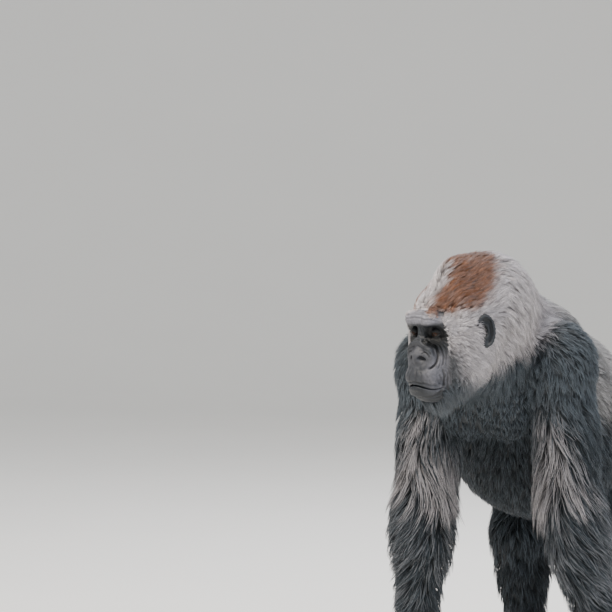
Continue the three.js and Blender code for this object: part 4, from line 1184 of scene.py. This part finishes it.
def ear_field():
    """A left ear in its own frame: X forward, Y up and Z out of the head."""
    wide, high = EAR["wide"], EAR["high"]
    # The rim runs from the root in front, over the top and down the back to the lobe.
    first, sweep, steps, inset = 28, 232, 14, 0.84  # degrees, and the rim's middle as a share of the ear
    rim = []
    for i in range(steps + 1):
        turn = math.radians(first + sweep * i / steps)
        x, y = wide * inset * math.cos(turn), high * inset * math.sin(turn)
        rim.append((x, y, 2.5 + 2.5 * math.sin(turn * 0.5)))
    inner = [(4, 22, 1.5), (-5, 13, 2.5), (-8, 1, 3.0), (-5, -14, 2.0), (2, -20, 1.5)]
    shell = blend(4, [
        lump((0, 0, -3), (wide - 2, high - 2, 6)),
        *(cone(a, b, 3.1, 3.1) for a, b in zip(rim, rim[1:])),
        *(cone(a, b, 2.3, 2.3) for a, b in zip(inner, inner[1:])),
        lump((3, -high + 10, 0), (9, 10, 4.5)),  # lobe
        cone((13, -3, 1), (12, -9, 2), 4, 3.5),  # tragus
    ])
    return hollowed(shell, 3, [
        lump((5, 0, 8), (11, 18, 12)),  # bowl
        lump((9, -5, 0), (5, 7, 12)),  # canal
        lump((-1, 23, 6), (13, 7, 6)),
        lump((-14, 4, 6), (3.5, 18, 5)),  # groove inside the rim
    ])


class GORILLA_OT_ears(Operator):
    """Makes the two ears, each cupped behind its rim"""

    bl_idname = "gorilla.ears"
    bl_label = "Ears"

    def execute(self, context):
        settings = context.scene.gorilla
        material = bpy.data.materials["bare_ape_hide"]
        corner = np.array((EAR["wide"] + 4, EAR["high"] + 5, 12))
        points, quads = surface(ear_field(), -corner, corner, settings.skin.ear_cell / MM)
        for side, s in SIDES.items():
            x, y, z = EAR["at"]
            centre, axes = on_head((s * x, y, z), (s * 0.9, -0.42, 0.08), (0, 0.16, 1))
            mirrored = points * (-s, 1, 1)
            p = mirrored @ axes.T + centre
            ear = mesh_object("ear_skin_" + side, to_scene(p), quads if s < 0 else quads[:, ::-1], material)
            # Painted shade darkens the inside of the ear's cup.
            shaded_inside = smoothstep(4, -2, points[:, 2])[:, None]
            colour = np.array(settings.colours.skin) * (1.25 - 0.95 * shaded_inside)
            set_colours(ear, "markings", colour)
            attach(ear, "root")
            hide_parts("ear_" + side)
        return {"FINISHED"}


def nail_frames():
    """Each nail: its name, the middle of its bed, its way out, its way to the tip and half its width."""
    found = []
    for side, s in SIDES.items():
        wrist = ARMS[side]["wrist"]
        for i in range(FINGERS["count"]):
            tip = finger_points(wrist, i)[-1]
            middle = np.add(tip, (0, FINGERS["radius"] - 3 - 0.6, -3))
            found.append((f"finger_{side}_{i + 1}", middle, (0, 1, 0), (0, 0.1, 1), 8.0))
        x, y, _ = wrist
        middle = np.array((x - s * 60, y - 14 - 9.4, 60))
        found.append((f"thumb_{side}", middle, (0, -1, 0.1), (0, -0.1, -1), 7.0))
        _, toes, big = foot_points(LEGS[side], s)
        for i, (root, tip) in enumerate([*toes, big]):
            ahead = unit(np.subtract(tip, root))
            out = unit(np.array([0, 0, 1.0]) + 0.25 * ahead)
            r, half = (TOES["radius"], 7.0) if i < len(toes) else (TOES["big"], 10.0)
            middle = np.add(tip, ahead * r * 0.45 + out * (r * 0.86))
            found.append((f"toe_{side}_{i + 1}", middle, out, ahead, half))
    return found


class GORILLA_OT_nails(Operator):
    """Makes the nails of fingers and toes, curved plates set into their beds"""

    bl_idname = "gorilla.nails"
    bl_label = "Nails"

    def execute(self, context):
        material = nail_material(context.scene.gorilla.colours)
        for name, middle, out, ahead, half in nail_frames():
            z = unit(np.asarray(out, float))
            y = unit(np.asarray(ahead, float) - z * np.dot(ahead, z))
            axes = np.stack([np.cross(y, z), y, z], axis=1)
            bpy.ops.object.select_all(action="DESELECT")
            bpy.ops.mesh.primitive_cube_add(size=2, location=(0, 0, 0))
            nail = context.object
            nail.name = "nail_" + name
            bpy.ops.object.mode_set(mode="EDIT")
            bpy.ops.mesh.select_all(action="SELECT")
            bpy.ops.mesh.subdivide(number_cuts=5)
            bpy.ops.object.mode_set(mode="OBJECT")
            p = vertex_array(nail)
            # The free edge and the root are rounded, and the plate bends over the finger.
            round_end = 1 - 0.22 * np.abs(p[:, 1]) ** 3
            x = p[:, 0] * half * round_end
            y_along = p[:, 1] * half * 1.05 * (1 - 0.12 * p[:, 0] ** 2)
            height = p[:, 2] * 0.9 - 0.42 * half * (x / half) ** 2 - 0.18 * half * np.maximum(p[:, 1], 0) ** 2
            place_points(nail, np.stack([x, y_along, height], axis=1) @ axes.T + middle)
            bpy.ops.object.shade_smooth()
            nail.data.materials.append(material)
            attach(nail, "root")
        return {"FINISHED"}


# ------------------------------------------------------------------ coat

# Where one region of the coat ends: a point of the plane and the way through it.
NECK_ENDS = ((-4, -72, 930), (0, 0.81, -0.58))
CHEST_ENDS = ((0, 235, 750), (0, 1, 0.12))
LOINS_END = ((0, 530, 720), (0, 1, 0.3))
HEAD_ENDS = (in_head((0, 150, 0)), head_way((0, 0.888, -0.46)))


def beyond(p, plane):
    """How far points lie beyond a plane."""
    at, normal = plane
    return (p - np.asarray(at, float)) @ unit(np.asarray(normal, float))


def regions(p):
    """The name of the region of the coat at points of the skin, empty where it is bare."""
    q = to_head(p)
    found = np.full(len(p), "", dtype="U16")
    fields = [whole_trunk(0, head_field(0))]
    for side in SIDES:
        fields += [whole_arm(side, 0), whole_leg(side, 0)]
    nearest = np.argmin(np.stack([field.at(p) for field in fields]), axis=0)
    on_trunk = nearest == 0
    found[on_trunk] = "loins"
    found[on_trunk & (beyond(p, LOINS_END) > 0)] = "rump"
    found[on_trunk & (beyond(p, CHEST_ENDS) < 0)] = "shoulders"
    found[on_trunk & (beyond(p, NECK_ENDS) < 0)] = "neck"
    near_head = (q[:, 2] > -185) & (np.linalg.norm(q - (0, 60, -20), axis=1) < 220)
    head = on_trunk & (beyond(p, HEAD_ENDS) < 0) & near_head
    found[head] = np.where(q[head, 0] > 0, "head_left", "head_right")
    for i, side in enumerate(SIDES):
        arm, leg = ARMS[side], LEGS[side]
        for mine, upper, lower, a, b, c in (
            (nearest == 2 * i + 1, "upper_arm_", "forearm_", arm["shoulder"], arm["elbow"], arm["wrist"]),
            (nearest == 2 * i + 2, "thigh_", "shin_", leg["hip"], leg["knee"], leg["ankle"]),
        ):
            above = beyond(p, (b, np.subtract(a, c))) > 0
            found[mine] = np.where(above[mine], upper + side, lower + side)
    found[(bare_face(q) > 0.8) | (bare_limbs(p) > 0.5)] = ""
    for s in SIDES.values():
        ear = np.linalg.norm((q - (s * 98, 99, -22)) / (27, 20, 36), axis=1) < 1
        found[ear] = ""
    return found


def head_lie(p, normals):
    """Up and back over the crown, down and back on the cheeks, down from the jaw."""
    q = to_head(p)
    side = np.sign(q[:, 0])
    zero, one = np.zeros(len(p)), np.ones(len(p))
    crown = np.stack([0.25 * side, one, 0.25 * one], axis=1)
    cheek = np.stack([0.15 * side, 0.75 * one, -0.75 * one], axis=1)
    beard = np.stack([zero, 0.18 * one, -1.0 * one], axis=1)
    low = smoothstep(34, -40, q[:, 2])
    chin = smoothstep(-100, -140, q[:, 2]) * smoothstep(80, 30, q[:, 1])
    return mixed(mixed(crown, cheek, low), beard, chin) @ HEAD_TURN.T


def trunk_lie(p, normals):
    """Back along the spine, down and back on the flanks, down on the chest."""
    steep = 1 - np.clip(normals[:, 2], 0, 1)
    front = smoothstep(80, -20, p[:, 1]) * smoothstep(960, 880, p[:, 2])
    flank = np.stack([0.12 * np.sign(p[:, 0]), 0.9 * np.ones(len(p)), -0.85 * steep], axis=1)
    chest = np.tile((0.0, 0.1, -1.0), (len(p), 1))
    # Over the shoulders it turns outwards and down, and covers the roots of the arms' hair.
    over = smoothstep(60, 130, np.abs(p[:, 0])) * smoothstep(850, 930, p[:, 2]) * smoothstep(210, 90, p[:, 1])
    outward = np.stack([np.sign(p[:, 0]), np.zeros(len(p)), -0.6 * np.ones(len(p))], axis=1)
    return mixed(flank, chest, front) + outward * over[:, None]


def arm_lie(side):
    """Down the upper arm, then outwards and back round the forearm."""
    s, arm = SIDES[side], ARMS[side]
    down = unit(np.subtract(arm["elbow"], arm["shoulder"]).astype(float))
    high, low = arm["elbow"][2], arm["wrist"][2]

    def lie(p, normals):
        top = np.clip(normals[:, 2], 0, 1)
        upper = down + (0, 0.38, 0) + top[:, None] * (s * 0.9, 0.25, 0)
        t = np.clip((high + 60 - p[:, 2]) / (high + 60 - low), 0, 1)
        lower = np.stack([s * (0.25 + 0.15 * t), 0.60 + 0.20 * t, -0.80 + 0.20 * t], axis=1)
        wild = ripple(p, 130, 3.0)[:, None] * (0.26, 0.10, 0.0)
        front = smoothstep(40, -40, p[:, 1]) * smoothstep(840, 720, p[:, 2])
        curl = elbow_tuft(p)[:, None] * (-s * 1.4, -0.5, 0.1) + front[:, None] * (s * 0.45, 0, 0)
        return mixed(upper, lower, smoothstep(high + 90, high - 60, p[:, 2])) + wild + curl

    return lie


def leg_lie(side):
    """Down the leg, and back from its front edge."""
    s = SIDES[side]

    def lie(p, normals):
        return np.tile((0.08 * s, 0.32, -1.0), (len(p), 1)) + ripple(p, 110, 5.0)[:, None] * (0.05, 0.2, 0.0)

    return lie


def coat_table(sizes):
    """Each coat piece: region, length, triangles, strands in a tuft, their width, how they gather to its tip,
    how far it rises over the coat's depth, how it clings to that depth, its lie and its slot.
    """
    table = []
    for side in SIDES:
        arms, legs = arm_lie(side), leg_lie(side)
        table += [
            (f"head_{side}", sizes.head, 146_000, 8, 1.2, 0.36, 0.0, 0.8, head_lie, "head_coat"),
            (f"upper_arm_{side}", sizes.upper_arm, 120_000, 10, 1.9, 0.66, 9.0, 0.6, arms, "dark_coat"),
            (f"forearm_{side}", sizes.forearm, 96_000, 9, 2.0, 0.72, 10.0, 0.45, arms, "dark_coat"),
            (f"thigh_{side}", sizes.thigh, 58_000, 9, 2.6, 0.70, 5.0, 0.55, legs, "dark_coat"),
            (f"shin_{side}", sizes.shin, 42_000, 8, 2.4, 0.66, 4.0, 0.6, legs, "dark_coat"),
        ]
    return table + [
        ("neck", sizes.neck, 172_000, 8, 1.7, 0.50, 2.0, 0.6, trunk_lie, "grey_coat"),
        ("shoulders", sizes.back, 164_000, 8, 2.1, 0.55, 2.0, 0.6, trunk_lie, "dark_coat"),
        ("loins", sizes.belly, 150_000, 8, 2.5, 0.60, 3.0, 0.5, trunk_lie, "saddle_coat"),
        ("rump", sizes.back, 104_000, 8, 2.4, 0.58, 2.0, 0.6, trunk_lie, "saddle_coat"),
    ]


OFF_FLOOR = 1.0  # no hair comes nearer to the floor
STEPS = 5  # stretches of a tuft's path
# Where along a strand its three-sided sections are, and how wide they are: of long strands and of short ones.
LONG_RINGS = ((0.0, 0.85), (0.34, 1.0), (0.70, 0.66))
SHORT_RINGS = ((0.0, 0.9), (0.46, 0.9))


def strand_triangles(rings):
    return 6 * (len(rings) - 1) + 4


def sample_skin(points, triangles, count, rng):
    """Roots of tufts spread evenly over triangles, and the room that each has."""
    a, b, c = points[triangles[:, 0]], points[triangles[:, 1]], points[triangles[:, 2]]
    area = np.linalg.norm(np.cross(b - a, c - a), axis=1) / 2
    # Even strides through the summed area spread the roots better than free draws.
    order = np.cumsum(area)
    at = (np.arange(count) + rng.random(count)) / count * order[-1]
    pick = np.minimum(np.searchsorted(order, at), len(triangles) - 1)
    u, v = rng.random(count), rng.random(count)
    over = u + v > 1
    u[over], v[over] = 1 - u[over], 1 - v[over]
    roots = a[pick] + (b - a)[pick] * u[:, None] + (c - a)[pick] * v[:, None]
    return roots, math.sqrt(order[-1] / count)


def tuft_paths(skin, coat, roots, lie, length, rise, cling, free, rng):
    """The way of each tuft: it leaves the skin along the lie and rises to the coat's depth."""
    depth, n = depth_and_way(skin, roots)
    p = roots - n * depth[:, None]
    depth = np.clip(-coat.at(p), 3, 60) + rise * (0.6 + 0.8 * rng.random(len(roots)))
    depth = np.minimum(depth, 0.42 * length)
    drift = 0.6 * (rng.random(len(roots)) - 0.5) + 0.5 * ripple(roots, 80, 1.0)
    path, across, out = [p - 2.5 * n], [], []
    step = (length / STEPS)[:, None]
    droop = np.array([0, 0, -0.10])
    way = None
    for i in range(STEPS + 1):
        t = (i + 1) / STEPS
        flow = unit(lie(p, n))
        outward = (flow * n).sum(axis=1)
        flow = unit(flow - n * np.where(outward > 0, (1 - free) * outward, outward)[:, None])
        flow = unit(flow + np.cross(n, flow) * (drift * t)[:, None])
        way = flow if way is None else unit(0.55 * way + 0.45 * flow + droop)
        side = unit(np.cross(n, way))
        across.append(side)
        out.append(np.cross(way, side))
        if i == STEPS:
            break
        ahead = p + way * step
        off, n = depth_and_way(skin, ahead)
        lack = depth * 0.96 * t**0.62 - off
        hold = cling * (1 - free * np.clip(outward, 0, 1))
        moved = ahead + n * np.where(lack > 0, lack, hold * lack)[:, None]
        way = unit(moved - p)
        p = moved
        path.append(p)
    return np.stack(path), np.stack(across), np.stack(out)


def along(path, t):
    """Points of each path at its own share t of its length."""
    i = np.minimum((t * STEPS).astype(int), STEPS - 1)
    f = (t * STEPS - i)[:, None]
    own = np.arange(path.shape[1])
    return path[i, own] * (1 - f) + path[i + 1, own] * f


def strands(paths, count, spread, width, gather, rings, rng):
    """Splits each tuft's path into strands that draw together to its tip, as rings of points."""
    path, across, out = (np.repeat(a, count, axis=1) for a in paths)
    total = path.shape[1]
    turn = rng.random(total) * 2 * math.pi
    off = np.sqrt(rng.random(total)) * spread
    side, lift = off * np.cos(turn), off * np.sin(turn)
    reach = 0.60 + 0.40 * rng.random(total)
    roll = rng.normal(0, 0.5, total)
    wave = rng.normal(0, 0.16, total) * spread
    stray = np.where(rng.random(total) < 0.12, -0.4, 1.0)  # a few strands leave their tuft
    made = []
    for ring, wide in [*rings, (1.0, 0.0)]:
        at = ring * reach
        x, n = unit(along(across, at)), unit(along(out, at))
        ahead = np.cross(x, n)
        close = 1 - gather * ring * stray
        aside = side * close + wave * math.sin(5 * ring)
        centre = along(path, at) + x * aside[:, None] - ahead * (lift * close)[:, None]
        centre = centre + n * (0.30 * off * ring * np.sin(turn * 3))[:, None]
        if wide == 0:
            made.append(centre[:, None])
            continue
        x = x * np.cos(roll)[:, None] + n * np.sin(roll)[:, None]
        n = np.cross(x, ahead) * -1
        half = (width * wide * 0.5 * (0.75 + 0.5 * rng.random(total)))[:, None]
        made.append(np.stack([centre + x * half, centre + n * half * 0.8, centre - x * half], axis=1))
    return np.concatenate(made, axis=1)


def strand_faces(total, rings):
    """The triangles of strands that each have some rings of three points and a tip."""
    last = 3 * (len(rings) - 1)
    one = [(0, 2, 1)]
    for ring in range(0, last, 3):
        for i in range(3):
            j = (i + 1) % 3
            one += [(ring + i, ring + j, ring + 3 + j), (ring + i, ring + 3 + j, ring + 3 + i)]
    one += [(last + i, last + (i + 1) % 3, last + 3) for i in range(3)]
    return (np.array(one)[None] + (last + 4) * np.arange(total)[:, None, None]).reshape(-1, 3)


LIMB_ENDS = {
    "upper": ("shoulder", "elbow"), "forearm": ("elbow", "wrist"),
    "thigh": ("hip", "knee"), "shin": ("knee", "ankle"),
}


def root_unwrap(p, name):
    """Where roots lie on an unwrap of the skin's own shape, from 0 to 1: around and along their region."""
    if name.startswith("head"):
        q = to_head(p) - (0, 70, -20)
        around = np.arctan2(np.abs(q[:, 0]), -q[:, 1]) / math.pi
        return np.stack([around, 0.5 + np.arctan2(q[:, 2], np.hypot(q[:, 0], q[:, 1])) / math.pi], axis=1)
    if name in ("neck", "shoulders", "loins", "rump"):
        around = np.arctan2(p[:, 0], p[:, 2] - np.interp(p[:, 1], (-300, 0, 700), (1000, 860, 720)))
        y = p[:, 1]
        return np.stack([0.5 + around / (2 * math.pi), (y - y.min()) / max(np.ptp(y), 1)], axis=1)
    limb = (ARMS if "arm" in name else LEGS)["left" if name.endswith("left") else "right"]
    a, b = (np.array(limb[end], float) for end in LIMB_ENDS[name.split("_")[0]])
    t = np.clip((p - a) @ (b - a) / ((b - a) @ (b - a)), -0.3, 1.3)
    off = p - a - t[:, None] * (b - a)
    return np.stack([0.5 + np.arctan2(off[:, 0], off[:, 1]) / (2 * math.pi), (t + 0.3) / 1.6], axis=1)


BAKE_PATCH = 0.003  # across, on a map that is 1 across


def bake_map(thing, roots, name, count, rings):
    """Gives each strand a small patch at its root's place on the unwrap."""
    corner = np.repeat(root_unwrap(roots, name) * (1 - BAKE_PATCH), count, axis=0)
    grid = [(side, t) for t, _ in rings for side in (0.0, 0.5, 1.0)] + [(0.5, 1.0)]
    uv = (corner[:, None] + np.array(grid)[None] * BAKE_PATCH).reshape(-1, 2)
    layer = thing.data.uv_layers.new(name="OFBake")
    index = np.empty(len(thing.data.loops), np.int32)
    thing.data.loops.foreach_get("vertex_index", index)
    layer.data.foreach_set("uv", uv[index].astype(np.float32).ravel())


def strand_colours(roots, count, rings, colours, arm, rng):
    """Colours from root to tip: darkened towards the root as painted shade deep in the coat, paler at the
    frosted tip, and some strands paler than their neighbours.
    """
    base = np.repeat(markings(roots, colours), count, axis=0)
    tuft = np.repeat(1 + 0.18 * rng.normal(0, 1, len(roots)).clip(-2, 2), count)
    base = base * (tuft * (1 + 0.12 * rng.normal(0, 1, len(base)).clip(-2, 2)))[:, None]
    light = smoothstep(0.05, 0.30, base.mean(axis=1))
    streaky = np.repeat(smoothstep(-0.3, 0.9, ripple(roots, 120, 7.0)), count)
    frosted = np.repeat(frosting(roots) * arm, count)
    odds = 0.16 + 0.34 * streaky + 0.6 * frosted
    picked = (rng.random(len(base)) < odds) * (0.25 + 0.35 * frosted + 0.40 * rng.random(len(base)))
    picked = picked * (1 - light)
    pale = mixed(np.tile(np.array(colours.slate), (len(base), 1)), np.array(colours.frost), frosted)
    # Painted shade darkens each strand towards its root, less on pale hair.
    root_shade = 0.40 + 0.26 * light
    made = []
    for t in [ring for ring, _ in rings for _ in range(3)] + [1.0]:
        tone = root_shade + (1.12 - root_shade) * t**0.7
        made.append(mixed(base, pale, picked * (0.35 + 0.65 * t)) * tone[:, None])
    return np.stack(made, axis=1).reshape(-1, 3)


def make_coat(names, context):
    """Makes the coat pieces of the named regions on the finished skin."""
    settings = context.scene.gorilla
    skin_piece = bpy.data.objects["skin"]
    skin_piece.data.calc_loop_triangles()
    triangles = np.empty(len(skin_piece.data.loop_triangles) * 3, np.int32)
    skin_piece.data.loop_triangles.foreach_get("vertices", triangles)
    triangles = triangles.reshape(-1, 3)
    points = vertex_array(skin_piece) / MM - SHIFT
    region_of = regions(points[triangles].mean(axis=1))
    skin, coat = body_field(0), body_field(1)
    material = bpy.data.materials.get("guard_hair") or hair_material()
    for seed, row in enumerate(coat_table(settings.coat)):
        name, length, budget, count, width, gather, rise, cling, lie, slot = row
        if not name.startswith(names):
            continue
        rng = np.random.default_rng(100 + seed)
        rings = LONG_RINGS if "arm" in name else SHORT_RINGS
        tufts = budget // (count * strand_triangles(rings))
        roots, room = sample_skin(points, triangles[region_of == name], tufts, rng)
        long = own_length(roots, name, length / MM, settings.coat) * (0.8 + 0.4 * rng.random(len(roots)))
        rise = rise * (long / (length / MM)) ** 2
        free = 0.9 if name.startswith("head") else 0.25
        paths = tuft_paths(skin, coat, roots, lie, long, rise, cling, free, rng)
        made = strands(paths, count, room * 0.85, width, gather, rings, rng)
        faces = strand_faces(len(made), rings)
        made = made.reshape(-1, 3)
        made[:, 2] = np.maximum(made[:, 2], OFF_FLOOR)
        piece = mesh_object("coat_" + name, to_scene(made), faces, material)
        colours = strand_colours(roots, count, rings, settings.colours, "arm" in name, rng)
        set_colours(piece, "markings", colours)
        bake_map(piece, roots, name, count, rings)
        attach(piece, "root")


def own_length(p, name, length, sizes):
    """The hair's length at each root, shorter towards the face, hands and feet and on the chest."""
    q = to_head(p)
    if name.startswith("head"):
        ruff = smoothstep(10, -60, q[:, 2])
        beard = smoothstep(-120, -150, q[:, 2]) * smoothstep(90, 40, q[:, 1])
        found = length * (1 - ruff) + sizes.cheek / MM * (1 + 0.35 * beard) * ruff
        away = smoothstep(0, -45, inside_face(q))
        return found * (0.30 + 0.70 * np.maximum(away, 0.8 * beard))
    if name.startswith("upper_arm"):
        return length * (0.54 + 0.46 * smoothstep(860, 600, p[:, 2]) + 0.80 * elbow_tuft(p))
    if name.startswith("forearm"):
        return length * (0.3 + 0.7 * smoothstep(110, 250, p[:, 2]))
    if name.startswith("shin"):
        return length * (0.35 + 0.65 * smoothstep(60, 180, p[:, 2]))
    if name == "shoulders":
        bare = smoothstep(60, -40, p[:, 1]) * smoothstep(960, 900, p[:, 2])
        return length * (1 - bare) + sizes.chest / MM * bare
    return np.full(len(p), length)


class GORILLA_OT_head_coat(Operator):
    """Makes the hair of crown, temples, cheeks and beard"""

    bl_idname = "gorilla.head_coat"
    bl_label = "Head coat"

    def execute(self, context):
        make_coat(("head",), context)
        return {"FINISHED"}


class GORILLA_OT_trunk_coat(Operator):
    """Makes the hair of neck, shoulders, back, belly and rump"""

    bl_idname = "gorilla.trunk_coat"
    bl_label = "Trunk coat"

    def execute(self, context):
        make_coat(("neck", "shoulders", "loins", "rump"), context)
        return {"FINISHED"}


class GORILLA_OT_limb_coat(Operator):
    """Makes the long hair of the arms and legs"""

    bl_idname = "gorilla.limb_coat"
    bl_label = "Limb coat"

    def execute(self, context):
        make_coat(("upper_arm", "forearm", "thigh", "shin"), context)
        return {"FINISHED"}


class GORILLA_PT_model(Panel):
    """Sizes, colours and making steps of the gorilla"""

    bl_idname = "GORILLA_PT_model"
    bl_label = "Gorilla"
    bl_space_type = "VIEW_3D"
    bl_region_type = "UI"
    bl_category = "Gorilla"

    def draw(self, context):
        settings = context.scene.gorilla
        for group in (settings.skin, settings.coat, settings.colours):
            box = self.layout.box()
            for key in group.__annotations__:
                box.prop(group, key)
        for operator in OPERATORS:
            self.layout.operator(operator.bl_idname)


GROUPS = (GorillaSkinSizes, GorillaCoatSizes, GorillaColours, GorillaSettings)
OPERATORS = (
    GORILLA_OT_stage,
    GORILLA_OT_skin,
    GORILLA_OT_eyes,
    GORILLA_OT_ears,
    GORILLA_OT_nails,
    GORILLA_OT_head_coat,
    GORILLA_OT_trunk_coat,
    GORILLA_OT_limb_coat,
)


def register():
    for cls in (*GROUPS, *OPERATORS, GORILLA_PT_model):
        bpy.utils.register_class(cls)
    bpy.types.Scene.gorilla = PointerProperty(type=GorillaSettings)


def unregister():
    del bpy.types.Scene.gorilla
    for cls in reversed((*GROUPS, *OPERATORS, GORILLA_PT_model)):
        bpy.utils.unregister_class(cls)


def main():
    register()
    bpy.ops.gorilla.stage()
    bpy.ops.gorilla.skin()
    bpy.ops.gorilla.eyes()
    bpy.ops.gorilla.ears()
    bpy.ops.gorilla.nails()
    bpy.ops.gorilla.head_coat()
    bpy.ops.gorilla.trunk_coat()
    bpy.ops.gorilla.limb_coat()


if __name__ == "__main__":
    main()
